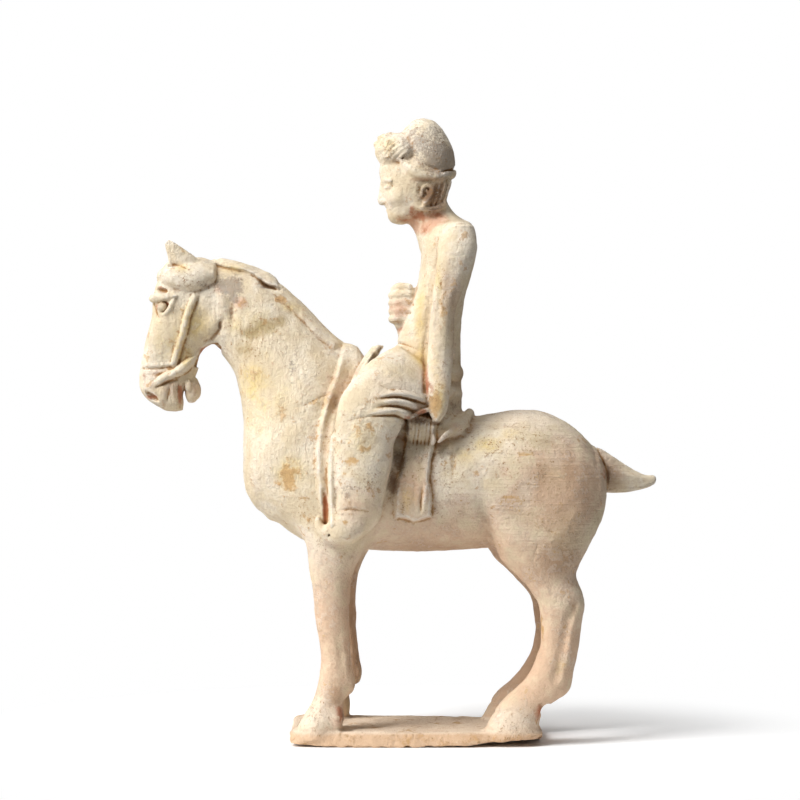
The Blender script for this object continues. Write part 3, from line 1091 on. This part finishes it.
stains("yellow", [
    (-76, -26, 212, 12, 16, 10, 0.7), (-88, -24, 240, 8, 12, 8, 0.5), (30, -42, 148, 10, 12, 10, 0.5),
    (-90, -20, 232, 12, 12, 12, 0.6), (-26, -48, 186, 10, 14, 8, 0.6), (84, -36, 150, 8, 12, 10, 0.6),
    (-6, -14, 331, 8, 12, 8, 0.6), (-9, -12, 300, 8, 12, 10, 0.3), (-80, -24, 232, 14, 30, 18, 0.6),
    (-78, -20, 200, 16, 40, 24, 0.8), (-60, -30, 225, 20, 30, 14, 0.5), (-76, -20, 196, 26, 40, 44, 0.62),
    (-122, -10, 226, 18, 30, 26, 0.6), (-40, -36, 186, 18, 30, 24, 0.45),
    (-66, -30, 190, 16, 30, 20, 0.6), (-70, -30, 165, 16, 30, 20, 0.4), (12, -20, 242, 5, 12, 34, 0.85),
    (12, -24, 211, 9, 12, 14, 1), (20, -38, 212, 5, 10, 18, 0.6), (22, -42, 190, 5, 10, 14, 0.7),
    (30, 34, 220, 20, 20, 50, 0.5), (48, -36, 166, 12, 12, 8, 0.8), (36, -40, 160, 10, 12, 10, 0.7),
    (62, -30, 172, 12, 16, 8, 0.6), (-20, -52, 168, 12, 14, 22, 0.6), (22, -30, 256, 3, 12, 20, 0.8),
    (80, 30, 150, 40, 30, 30, 0.4), (-60, 40, 190, 40, 30, 40, 0.7), (-8, -50, 182, 18, 12, 10, 0.5),
    (-112, -16, 232, 14, 14, 16, 0.8), (-132, -12, 226, 8, 18, 18, 0.6), (-118, -16, 214, 8, 12, 8, 0.9),
    (-4, -46, 204, 12, 14, 10, 0.6), (-60, -38, 150, 16, 14, 16, 0.7), (98, -20, 84, 5, 14, 6, 0.8),
    (88, -30, 42, 5, 12, 10, 0.6), (40, -42, 112, 12, 12, 6, 0.6), (-120, -10, 262, 8, 12, 5, 0.8),
    (-119, -12, 272, 6, 8, 6, 0.5), (5, -48, 135, 8, 12, 12, 0.6), (-93, 0, 262, 14, 16, 6, 0.8),
    (-60, -10, 241, 12, 12, 5, 0.7), (-82, -24, 220, 16, 16, 14, 0.5), (10, -12, 318, 8, 8, 3, 0.6),
])
stains("pale", [
    (69, -44, 138, 6, 12, 14, 0.7), (86, -42, 158, 5, 12, 12, 0.6), (46, -44, 140, 8, 12, 14, 0.5),
    (-106, -18, 236, 10, 8, 12, 0.5), (-8, -12, 303, 8, 12, 12, 0.6), (-45, -34, 14, 14, 14, 12, 0.9),
    (62, -36, 14, 18, 14, 12, 0.9), (72, -16, 182, 34, 34, 12, 0.9), (-6, -50, 197, 18, 14, 14, 0.8),
    (-24, -56, 124, 14, 14, 9, 0.7), (20, -36, 216, 7, 12, 24, 0.5), (-80, -26, 150, 14, 20, 30, 0.5),
    (36, -24, 279, 9, 14, 9, 0.6), (86, -30, 40, 10, 14, 14, 0.4), (60, -6, 192, 44, 34, 16, 1),
    (96, -14, 180, 20, 30, 14, 0.6), (-45, 34, 14, 14, 14, 12, 0.9), (62, 36, 14, 18, 14, 12, 0.9),
    (0, 50, 190, 20, 14, 30, 0.5),
])
stains("pink", [
    (60, 0, 100, 60, 70, 48, 0.85), (-30, 0, 60, 40, 70, 60, 0.9), (80, 0, 40, 50, 70, 60, 1),
    (10, 0, 4, 100, 60, 14, 1), (85, -30, 140, 34, 50, 36, 0.9), (22, -44, 200, 6, 12, 26, 0.4),
    (-22, -54, 130, 16, 14, 16, 0.6), (6, -48, 145, 14, 12, 26, 0.8), (-36, -30, 195, 8, 12, 24, 0.7),
    (20, 0, 120, 70, 60, 22, 0.8), (-24, -32, 212, 6, 12, 10, 0.7), (32, -40, 176, 8, 10, 7, 0.7),
    (-120, 0, 196, 20, 30, 12, 0.5), (30, -10, 220, 8, 20, 50, 0.4),
])
stains("bare", [
    (29, -40, 161, 2, 10, 9, 0.7), (-22, -54, 140, 3, 12, 3, 0.7), (62, -43, 152, 4, 10, 3, 0.6),
    (88, -40, 133, 3, 10, 7, 0.7), (-60, -38, 148, 8, 12, 13, 0.85), (-50, -38, 128, 8, 12, 10, 0.6),
    (97, -26, 138, 3, 12, 12, 1), (-24.8, -56, 157, 5, 12, 3.4, 1), (-18, -56, 164, 6, 12, 6, 0.7),
    (-29, -56, 150, 2, 12, 2, 1), (-28.4, -56, 123.5, 2.6, 12, 2.2, 1), (-14, -56, 173, 6, 10, 7, 0.7),
    (24, -36, 240, 4, 10, 22, 0.6), (20, -44, 188, 5, 10, 8, 0.9), (10, 0, 7, 80, 60, 6, 0.45),
    (-50, 36, 150, 14, 20, 18, 0.7), (90, 30, 150, 14, 20, 20, 0.6), (0, 56, 160, 16, 14, 20, 0.5),
    (69, -43, 160.5, 6, 8, 1.6, 1.1), (31, -42, 160, 1.5, 10, 15, 0.75), (-45, -40, 150, 5, 10, 30, 0.5),
    (60, -43, 137, 6, 10, 1.6, 0.8), (79, -30, 62, 2, 12, 16, 0.6), (-124, -14, 263, 6, 8, 2, 0.6),
    (-66, -12, 246, 5, 10, 3.4, 0.9), (-118, -14, 207, 4, 8, 6, 0.5), (-45, -36, 40, 6, 10, 16, 0.5),
    (-48, -20, 108, 8, 14, 8, 0.6),
])
stains("olive", [
    (78, -30, 166, 12, 12, 7, 0.7), (52, -42, 148, 9, 12, 8, 0.6), (-86, -24, 218, 9, 16, 8, 0.9),
    (66, -38, 128, 14, 14, 7, 0.6), (-81, -24, 226.6, 9, 16, 5, 1.2), (-73, -22, 230, 8, 16, 5, 1.3),
    (-66, -22, 233, 7, 16, 4.6, 1.1), (-106, -16, 234, 10, 12, 12, 0.2), (-117, -16, 215, 4, 12, 5, 0.8),
    (-112, -16, 224, 4, 12, 8, 0.4), (-98, -16, 240, 6, 10, 8, 0.4), (22, -36, 262, 5, 12, 18, 0.5),
    (-14, -58, 170, 7, 8, 12, 0.7), (90, -34, 118, 18, 20, 26, 0.7), (84, -40, 146, 18, 14, 18, 0.5),
    (34, -42, 150, 14, 12, 12, 0.5), (-78, 24, 226, 20, 16, 24, 0.8), (60, 40, 140, 30, 14, 30, 0.6),
    (30, 20, 230, 10, 20, 40, 0.6), (12, -42, 150, 3, 8, 20, 0.6), (-90, -26, 214, 5, 20, 10, 0.6),
    (34, 0, 205, 6, 20, 20, 0.7),
])
stains("grey", [
    (-58, -30, 210, 3, 10, 14, 0.7), (-28, -56, 140, 7, 10, 5, 0.6), (20, -48, 150, 5, 10, 6, 0.5),
    (-93.3, -18, 253.4, 8.6, 12, 6.6, 1.5), (-107, -18, 252, 6, 10, 4, 0.7), (-92, -18, 246, 4, 9, 4, 1),
    (24, -10, 323, 12, 14, 11, 1.3), (14, -10, 333, 16, 14, 14, 0.75), (6, -14, 334, 8, 10, 8, 0.6),
    (-98, 18, 250, 10, 12, 10, 0.8), (-6, 0, 332, 8, 14, 6, 0.5), (-17, -58, 147, 8, 8, 8, 0.5),
    (-44, -33, 205, 6, 10, 12, 0.5), (-62, -30, 214, 4, 10, 10, 0.5), (-38, -36, 168, 5, 10, 10, 0.5),
    (26, 12, 326, 8, 8, 12, 0.8), (22, -40, 205, 6, 10, 12, 0.35),
])
stains("blush", [
    (0, -26, 238, 8, 14, 12, 0.9), (18, -10, 286, 12, 10, 7, 1), (60, -42, 150, 12, 10, 9, 0.5),
    (-88, -20, 243.6, 6.5, 10, 5, 0.8), (-100, -18, 251, 3.4, 8, 4.4, 1), (0, -6, 241, 9, 14, 10, 0.75),
    (20, -10, 290, 10, 10, 7, 1), (8, -6, 287, 7, 10, 8, 1), (-134, -12, 205, 8, 10, 4, 0.6),
    (-131, -12, 190, 8, 10, 6, 0.4), (-7, -12, 306, 5, 8, 9, 0.45), (-46, -34, 196, 7, 10, 9, 0.5),
    (-24, -34, 205, 5, 10, 6, 0.6), (-34, -32, 14, 8, 12, 8, 0.6), (-134, 12, 205, 8, 10, 4, 0.6),
    (44, -40, 128, 8, 12, 10, 0.5), (66, -40, 122, 12, 12, 10, 0.4),
])
stains("speckled", [
    (-84, -26, 226, 24, 20, 22, 0.75), (60, -34, 168, 34, 20, 16, 0.8), (84, -36, 130, 20, 14, 20, 0.6),
    (-34, -50, 165, 10, 14, 22, 0.7), (18, -50, 145, 8, 14, 20, 0.7), (-117, -16, 256, 8, 12, 8, 1),
    (-105, -16, 252, 7, 12, 5, 1), (-4, 0, 330, 9, 18, 9, 1.5), (20, -13, 303, 9, 8, 8, 1.2),
    (-18, -56, 146, 8, 10, 7, 1), (12, -14, 336, 12, 14, 9, 0.6), (24, -10, 328, 9, 12, 12, 0.7),
    (22, -36, 252, 5, 10, 18, 1), (-61, -32, 224, 6, 12, 8, 0.9), (-40, -36, 212, 8, 12, 10, 0.6),
    (8, -46, 152, 9, 12, 12, 0.7), (-50, -38, 128, 10, 12, 12, 0.8), (-39, -38, 168, 5, 12, 12, 0.8),
    (28, -44, 152, 10, 12, 18, 1), (26, -44, 132, 14, 12, 12, 0.8), (70, -40, 150, 24, 14, 16, 0.6),
    (-42, -40, 112, 10, 12, 6, 0.9), (20, -44, 190, 6, 10, 12, 0.8), (-132, -12, 205, 9, 12, 3, 0.8),
    (-6, -12, 308, 8, 8, 8, 0.4), (2, -48, 132, 8, 12, 8, 0.8), (-46, -34, 20, 12, 14, 14, 0.7),
    (62, -36, 14, 16, 12, 10, 0.7), (-84, -24, 214, 12, 16, 18, 0.5), (20, 0, 4, 90, 60, 8, 0.6),
])
stains("soot", [
    (29.2, -42, 158, 0.8, 10, 11, 0.6), (17.4, -48, 150, 1.4, 8, 20, 0.7), (9, -49, 172, 9, 8, 6, 0.5),
    (-31, -52, 128, 6, 10, 1.4, 0.6), (3.4, -15, 325, 2.4, 5, 3, 0.8), (-6, -12, 324, 7, 6, 1.4, 0.8),
    (16, -16, 317, 9, 5, 1.4, 0.8), (2.6, -42, 173, 4, 8, 10, 1.6), (0.6, -42, 160, 4, 8, 12, 1.5),
    (-3, -42, 144, 4, 8, 10, 1.1), (10, -43, 178.6, 8, 7, 2, 1.5), (2.6, 42, 173, 4, 8, 10, 1.6),
    (0.6, 42, 158, 4, 8, 14, 1.4), (-92.6, -20, 239, 1.6, 10, 6, 1.1),
    (-99, -16, 230.4, 1.4, 8, 3.4, 1.2), (-12.6, -20, 212.4, 3.4, 14, 4.6, 1.3),
    (31, -18, 186, 6, 14, 4, 0.7), (11, -45, 182, 6, 6, 3, 1), (78, -34, 20, 2.6, 12, 4, 1.1),
    (-30.6, -34, 17, 3, 12, 6, 0.9), (19, -12, 296, 9, 6, 2, 0.9), (14, -16, 311, 12, 5, 1.2, 0.9),
    (15, -38, 195, 2, 8, 8, 0.8), (-10, -10, 216.6, 3, 9, 3.6, 1.3), (-15, -24, 210, 3, 7, 3.4, 1.2),
    (-137.4, -10, 192, 2.6, 4, 1.2, 1.2), (-122.4, -10, 195.6, 1.2, 5, 4, 1.2),
    (-120.2, -10, 189, 1, 5, 4, 1.2), (114, -12, 156, 1.4, 12, 5, 0.9), (116.6, -10, 147, 1.6, 12, 6, 1),
    (119, -10, 139.6, 7, 12, 1.6, 0.7), (-131.6, -14, 242.6, 3.4, 4, 2.8, 0.7),
    (18.6, -14, 303.6, 8.6, 6, 7, 1.15), (-72, -12, 252.6, 5, 12, 1.1, 1.4),
    (20.6, -40, 177, 4.4, 8, 1.6, 1.3), (-34, -44, 136, 1, 10, 9, 0.9),
    (-113.4, -8, 202.8, 1.6, 4, 1.6, 1.2), (24, -13, 302, 6, 6, 8, 0.6), (-93, 20, 238, 2, 10, 7, 1),
    (17, 14, 303, 8, 6, 8, 0.7),
])
stains("red", [
    (2, -6, 290.6, 6, 14, 3, 0.95), (7.4, -11, 295, 2.4, 6, 4, 1), (12, -10, 291.6, 6, 8, 4, 1.05),
    (22, -10, 293, 6, 6, 3.4, 0.75), (13, -12, 285, 6, 8, 5, 0.75), (77, -34, 19, 3.6, 12, 6, 0.95),
    (-32, -34, 19, 3.8, 12, 7, 0.8), (13, -46, 183, 5, 6, 2.6, 0.9), (76, -36, 5, 8, 8, 3, 0.6),
    (-137, -9, 191.6, 5, 4, 1.9, 1.2), (-137, 9, 191.6, 5, 4, 1.9, 1.2),
    (-121.6, -9, 193, 1.7, 6, 7, 1.3), (-121.6, 9, 193, 1.7, 6, 7, 1.3), (15.2, -36, 204, 1.5, 6, 11, 1),
    (1, -5, 229, 5, 9, 2.4, 0.8), (-106, 0, 217.4, 9, 14, 3, 1.3), (-39.8, -41, 131, 2, 8, 9, 1.2),
    (-128, 0, 184, 8, 12, 2, 0.6), (-40, -32, 12, 4, 8, 5, 0.6), (113, -12, 148, 2.4, 14, 7, 1),
    (-6, -20, 228, 5, 14, 4, 1.1), (15.8, -38, 197, 1.5, 8, 10, 1), (17.6, -44, 196, 2, 8, 6, 0.9),
    (-133, -13, 251.6, 2.6, 6, 1.8, 1), (4, -46, 180.6, 4, 6, 2.2, 0.9), (78, -25, 22, 5, 10, 6, 0.7),
    (-134.4, -12, 241, 1.6, 5, 3, 1), (-128, -14, 243.4, 2, 5, 1.6, 0.8), (-141.6, -9, 203, 2, 6, 3, 0.7),
    (-56, -32, 218, 4.6, 10, 1.3, 1.2), (-69, -28, 209.5, 1.3, 10, 1.7, 1.2),
    (-80.4, -26, 212.8, 1.2, 10, 1, 1.1), (-122, -14, 264.4, 4, 8, 1, 0.5), (2, -15, 315, 4.4, 3, 1, 0.9),
    (-6, -9, 309, 1.4, 4, 4, 0.7),
])
stains("umber", [
    (78, -44, 150, 4, 12, 15, 0.75), (93, -38, 148, 5, 12, 20, 0.75), (58, -44, 132, 9, 12, 7, 0.6),
    (29.2, -42, 158, 1.3, 10, 13, 0.9), (24, -40, 168, 5, 8, 5, 1), (19.6, -46, 171, 4, 8, 8, 1.3),
    (112, -12, 156, 5, 14, 12, 0.9), (-34, -34, 28, 5, 12, 10, 1), (-8, -20, 234, 5, 14, 5, 1),
    (26, -36, 250, 4, 12, 26, 0.7), (96, -40, 76, 3, 14, 8, 0.8), (21, -12, 303, 10, 6, 9, 1.3),
    (20, -40, 236, 6, 12, 26, 0.5), (11, -45, 184, 6, 6, 5, 1), (16, -14, 312, 16, 6, 1.6, 1),
    (30, -34, 246, 5, 12, 20, 0.7), (-3, -14, 322, 6, 6, 2, 0.9), (104, -20, 140, 12, 30, 26, 0.7),
    (86, -34, 104, 18, 20, 16, 0.9), (20, -20, 106, 44, 40, 9, 0.9), (33, -32, 226, 6, 14, 34, 0.9),
    (36, -10, 202, 7, 24, 16, 0.7), (34, -44, 128, 10, 12, 20, 0.6), (-30, 12, 60, 18, 14, 60, 1),
    (84, 12, 60, 30, 14, 60, 1), (-16, -24, 100, 8, 20, 24, 0.7), (118, -4, 148, 10, 16, 12, 0.9),
    (108, -14, 152, 4, 14, 14, 0.9), (90, 20, 112, 20, 20, 24, 0.5), (-38, -38, 176, 4, 10, 20, 0.5),
    (70, -43, 140, 16, 10, 12, 0.5), (-132, -10, 196, 12, 12, 6, 0.5),
])


x, y, z = spots.T
note("plate", (PLATE_THICK + 2 + PLATE_EXTRA * ramp(y, 0, PLATE_HALF) - z) / 1.6)
note("trodden", ramp(z, PLATE_THICK - 1.4, PLATE_THICK) * ramp(z, PLATE_THICK + 3, PLATE_THICK + 1.5))
note("combed", ramp(x, 20, 45) * ramp(z, 95, 115))
note("brushed", ramp(x, -30, -50) * ramp(z, 130, 150))


class Wire:
    """A node's output that can be used in a sum: a sum on wires adds the Math node that works it out."""

    def __init__(self, tree, socket):
        self.tree, self.socket = tree, socket

    def node(self, kind, settings=None, output=0, **inputs):
        """Any node: its settings first, then its inputs by name or, for unnamed ones, by i and number."""
        made = self.tree.nodes.new(kind)
        for key, value in (settings or {}).items():
            setattr(made, key, value)
        for key, value in inputs.items():
            numbered = key[0] == "i" and key[1:].isdigit()
            socket = made.inputs[int(key[1:]) if numbered else key.replace("_", " ")]
            if isinstance(value, Wire):
                self.tree.links.new(value.socket, socket)
            else:
                socket.default_value = value
        return Wire(self.tree, made.outputs[output])

    def maths(self, operation, other, flip=False):
        """The Math node that works out the operation on this wire and the other, or the other way round."""
        a, b = (other, self) if flip else (self, other)
        return self.node("ShaderNodeMath", {"operation": operation}, i0=a, i1=b)

    def __add__(self, other):
        return self.maths("ADD", other)

    def __radd__(self, other):
        return self.maths("ADD", other, True)

    def __sub__(self, other):
        return self.maths("SUBTRACT", other)

    def __rsub__(self, other):
        return self.maths("SUBTRACT", other, True)

    def __mul__(self, other):
        return self.maths("MULTIPLY", other)

    def __rmul__(self, other):
        return self.maths("MULTIPLY", other, True)

    def above(self, low, high):
        """Nought below low, one above high, and eased between."""
        settings = {"interpolation_type": "SMOOTHSTEP", "clamp": True}
        return self.node("ShaderNodeMapRange", settings, Value=self, From_Min=low, From_Max=high)

    def tint(self, under, over):
        """The colour under, covered by the colour over as far as this wire's number says."""
        return self.node("ShaderNodeMix", {"data_type": "RGBA"}, 2, i0=self, i6=under, i7=over)


def glaze(red, green, blue):
    """A paint's colour from the numbers of a screen, 0 to 255, as the shader's linear ones."""
    share = [v / 255 for v in (red, green, blue)]
    return (*[v / 12.92 if v <= 0.04045 else ((v + 0.055) / 1.055) ** 2.4 for v in share], 1.0)


slip = bpy.data.materials.new("slipped_pottery")
slip.use_nodes = True
tree = slip.node_tree
shader = next(n for n in tree.nodes if n.type == "BSDF_PRINCIPLED")
shader.inputs["Roughness"].default_value = 0.86
shader.inputs["Specular IOR Level"].default_value = 0.22
glazing = Wire(tree, None)
place_on = glazing.node("ShaderNodeTexCoord", output=3)
CREAM, IVORY, YELLOW = glaze(225, 208, 177), glaze(241, 230, 210), glaze(226, 200, 134)
PINK, TAN, GOLD = glaze(219, 187, 158), glaze(204, 163, 108), glaze(170, 125, 72)
GREY, RED, DIRT, WHITE = glaze(156, 143, 131), glaze(180, 98, 60), glaze(86, 61, 40), glaze(247, 240, 228)
DUN, OLIVE, BLUSH = glaze(187, 152, 119), glaze(174, 150, 98), glaze(210, 157, 128)
UMBER, BISCUIT, OCHRE = glaze(182, 147, 118), glaze(222, 189, 156), glaze(212, 166, 116)
SOOT, PALE = glaze(100, 70, 46), glaze(240, 223, 201)


def blot(scale, detail=5.0, rough=0.62, stretch=None):
    """Cloudy numbers round nought, mostly between a half either way; the scale is in clouds per metre,
    and a stretch under one draws them out along that axis."""
    where = glazing.node("ShaderNodeMapping", Vector=place_on, Scale=stretch) if stretch else place_on
    cloud = glazing.node("ShaderNodeTexNoise", Vector=where, Scale=scale, Detail=detail, Roughness=rough)
    return (cloud - 0.5) * 2.6


def kept(name):
    """The numbers that note kept under that name."""
    return glazing.node("ShaderNodeAttribute", {"attribute_name": name}, 2)


broad, middle, small, fine = blot(36), blot(105, 6, 0.66), blot(310, 5, 0.68), blot(900, 4, 0.7)
combed = blot(210, 5, 0.7, (0.1, 0.1, 3.6)) * kept("combed")
brushed = blot(190, 5, 0.66, (2.4, 2.4, 0.25)) * kept("brushed")
scratched = blot(230, 3, 0.6, (1.0, 1.0, 0.08)).above(0.5, 0.66) * kept("brushed")
drifts = 0.5 * middle + 0.45 * broad
ragged = 0.4 * middle + 0.4 * small
flaked = 0.4 * broad + 0.7 * middle + 0.45 * small
colour = (broad + 0.6 * middle).above(-0.4, 0.4).tint(CREAM, IVORY)
flecks = (fine + 0.6 * small) * (0.4 + 0.6 * kept("speckled"))
pits = (fine + 0.6 * small + 0.4 * middle).above(0.62, 0.76)
coats = [  # from the bottom up: how far each covers, from 0 to 1, and its colour
    ((kept("pink") + drifts).above(0.2, 0.8), PINK),
    ((kept("umber") + 0.6 * drifts + 0.2 * combed).above(0.15, 1.0) * 0.8, UMBER),
    ((kept("yellow") + drifts).above(0.3, 0.95) * 0.9, YELLOW),
    ((kept("pale") + 0.6 * drifts).above(0.15, 0.9) * 0.75, PALE),
    (flaked.above(0.12, 0.2) * 0.26, WHITE),
    ((kept("olive") + 0.3 * ragged + 0.3 * brushed).above(0.25, 1.1) * 0.75, OLIVE),
    ((kept("blush") + 0.7 * ragged).above(0.35, 0.9) * 0.8, BLUSH),
    (kept("plate"), BISCUIT),
    ((kept("plate") + drifts + 0.3 * small).above(0.95, 1.4) * 0.75, OCHRE),
    (kept("trodden") * kept("plate") * 0.8, PALE),
    ((middle + 0.7 * small).above(0.28, 0.52) * 0.6, TAN),
    ((kept("bare") + ragged).above(0.42, 0.75) * 0.85, TAN),
    ((kept("grey") + ragged + 0.4 * fine).above(0.36, 0.8) * 0.75, GREY),
    ((kept("sheltered") + 0.4 * middle).above(0.05, 0.8) * 0.85, DUN),
    ((kept("exposed") + 0.9 * small - 0.4 * kept("plate")).above(0.45, 0.85) * 0.55, WHITE),
    ((kept("hollow") + 0.6 * small + 0.3 * fine).above(0.22, 0.85) * 0.85, GOLD),
    ((kept("hollow") + 0.5 * fine + 0.5 * small).above(0.75, 1.25) * 0.7, DIRT),
    ((kept("soot") + 0.4 * small + 0.3 * fine).above(0.3, 1.1) * 0.85, SOOT),
    ((kept("red") + ragged).above(0.4, 0.95) * 0.8, RED),
    (flecks.above(0.18, 0.38) * 0.8, GOLD),
    ((-1.0 * flecks).above(0.3, 0.5) * 0.6, WHITE),
    (0.75 * pits, GOLD),
    (0.4 * scratched, DUN),
    ((fine + 0.6 * small + combed + brushed).above(-0.5, 0.9) * 0.34, DUN),
    ((combed + 0.4 * middle).above(0.2, 0.7) * 0.26, WHITE),
]
for cover, paint in coats:
    colour = cover.tint(colour, paint)
tree.links.new(colour.socket, shader.inputs["Base Color"])
height = 0.5 * fine + 0.8 * small + 0.7 * combed + 0.7 * brushed - 1.2 * pits - 0.9 * flecks.above(0.1, 0.5)
height = height + 0.5 * flaked.above(0.12, 0.2) - 0.5 * scratched
bump = glazing.node("ShaderNodeBump", Strength=0.65, Distance=0.001, Height=height)
tree.links.new(bump.socket, shader.inputs["Normal"])
finished.materials.clear()
finished.materials.append(slip)
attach(figure, "root")
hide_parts("horse_and_rider")


# A white sweep of paper: matt under the figure, where it takes the soft shadow, then lifted by a glow
# of its own, and plain white further out. Only the camera sees that white in full, because it would
# light the figure from below.
FLOOR = 4.0  # its edge, m
LIFTED, WHITE_OUT = (0.07, 0.13), (0.13, 0.27)  # where each glow starts and is full, m from the middle
bpy.ops.mesh.primitive_plane_add(size=FLOOR)
floor = bpy.context.object
floor.name = "floor"
paper = bpy.data.materials.new("paper")
paper.use_nodes = True
sheet = Wire(paper.node_tree, None)
place_there = sheet.node("ShaderNodeTexCoord", output=3)
away = sheet.node("ShaderNodeVectorMath", {"operation": "LENGTH"}, 1, i0=place_there)
matt = sheet.node("ShaderNodeBsdfDiffuse", Color=(0.93, 0.93, 0.93, 1))
faint, soft, full = (
    sheet.node("ShaderNodeEmission", Color=(1, 1, 1, 1), Strength=glow) for glow in (0.2, 0.5, 1.0)
)
lifted = sheet.node("ShaderNodeAddShader", i0=matt, i1=faint)
white = sheet.node("ShaderNodeMixShader", i0=sheet.node("ShaderNodeLightPath"), i1=soft, i2=full)
inner = sheet.node("ShaderNodeMixShader", i0=away.above(*LIFTED), i1=matt, i2=lifted)
whole = sheet.node("ShaderNodeMixShader", i0=away.above(*WHITE_OUT), i1=inner, i2=white)
output = next(n for n in paper.node_tree.nodes if n.type == "OUTPUT_MATERIAL")
paper.node_tree.links.new(whole.socket, output.inputs["Surface"])
floor.data.materials.append(paper)


# Soft studio light: a dim white surround, a broad key from the upper left in front, a low fill from
# the left, and a wide soft lamp overhead.
SURROUND = 0.135  # strength of the light from all round
AIM = np.array([0, 0, 0.17])  # the place that the lamps are turned to, m
LAMPS = {  # place in m, edge in m, power in W
    "key": ((-1.12, -0.86, 1.5), 0.75, 37),
    "left_fill": ((-1.4, -0.5, 0.68), 1.0, 14),
    "top": ((0.25, -0.15, 1.9), 1.4, 11),
}
world = bpy.data.worlds.new("white_surround")
world.use_nodes = True
surround = Wire(world.node_tree, None)
dim = surround.node("ShaderNodeBackground", Color=(1, 1, 1, 1), Strength=SURROUND)
seen = surround.node("ShaderNodeBackground", Color=(1, 1, 1, 1), Strength=1.0)
all_round = surround.node("ShaderNodeMixShader", i0=surround.node("ShaderNodeLightPath"), i1=dim, i2=seen)
world.node_tree.nodes.remove(world.node_tree.nodes["Background"])
world.node_tree.links.new(all_round.socket, world.node_tree.nodes["World Output"].inputs["Surface"])
bpy.context.scene.world = world
bpy.context.scene.view_settings.view_transform = "Standard"
for name, (where, size, watts) in LAMPS.items():
    lamp = bpy.data.lights.new(name, "AREA")
    lamp.size, lamp.energy = size, watts
    light = bpy.data.objects.new(name, lamp)
    light.location = where
    aim = AIM - where
    yaw, pitch = math.atan2(aim[1], aim[0]), math.atan2(math.hypot(aim[0], aim[1]), -aim[2])
    light.rotation_euler = (pitch, 0, yaw - math.pi / 2)
    bpy.context.scene.collection.objects.link(light)
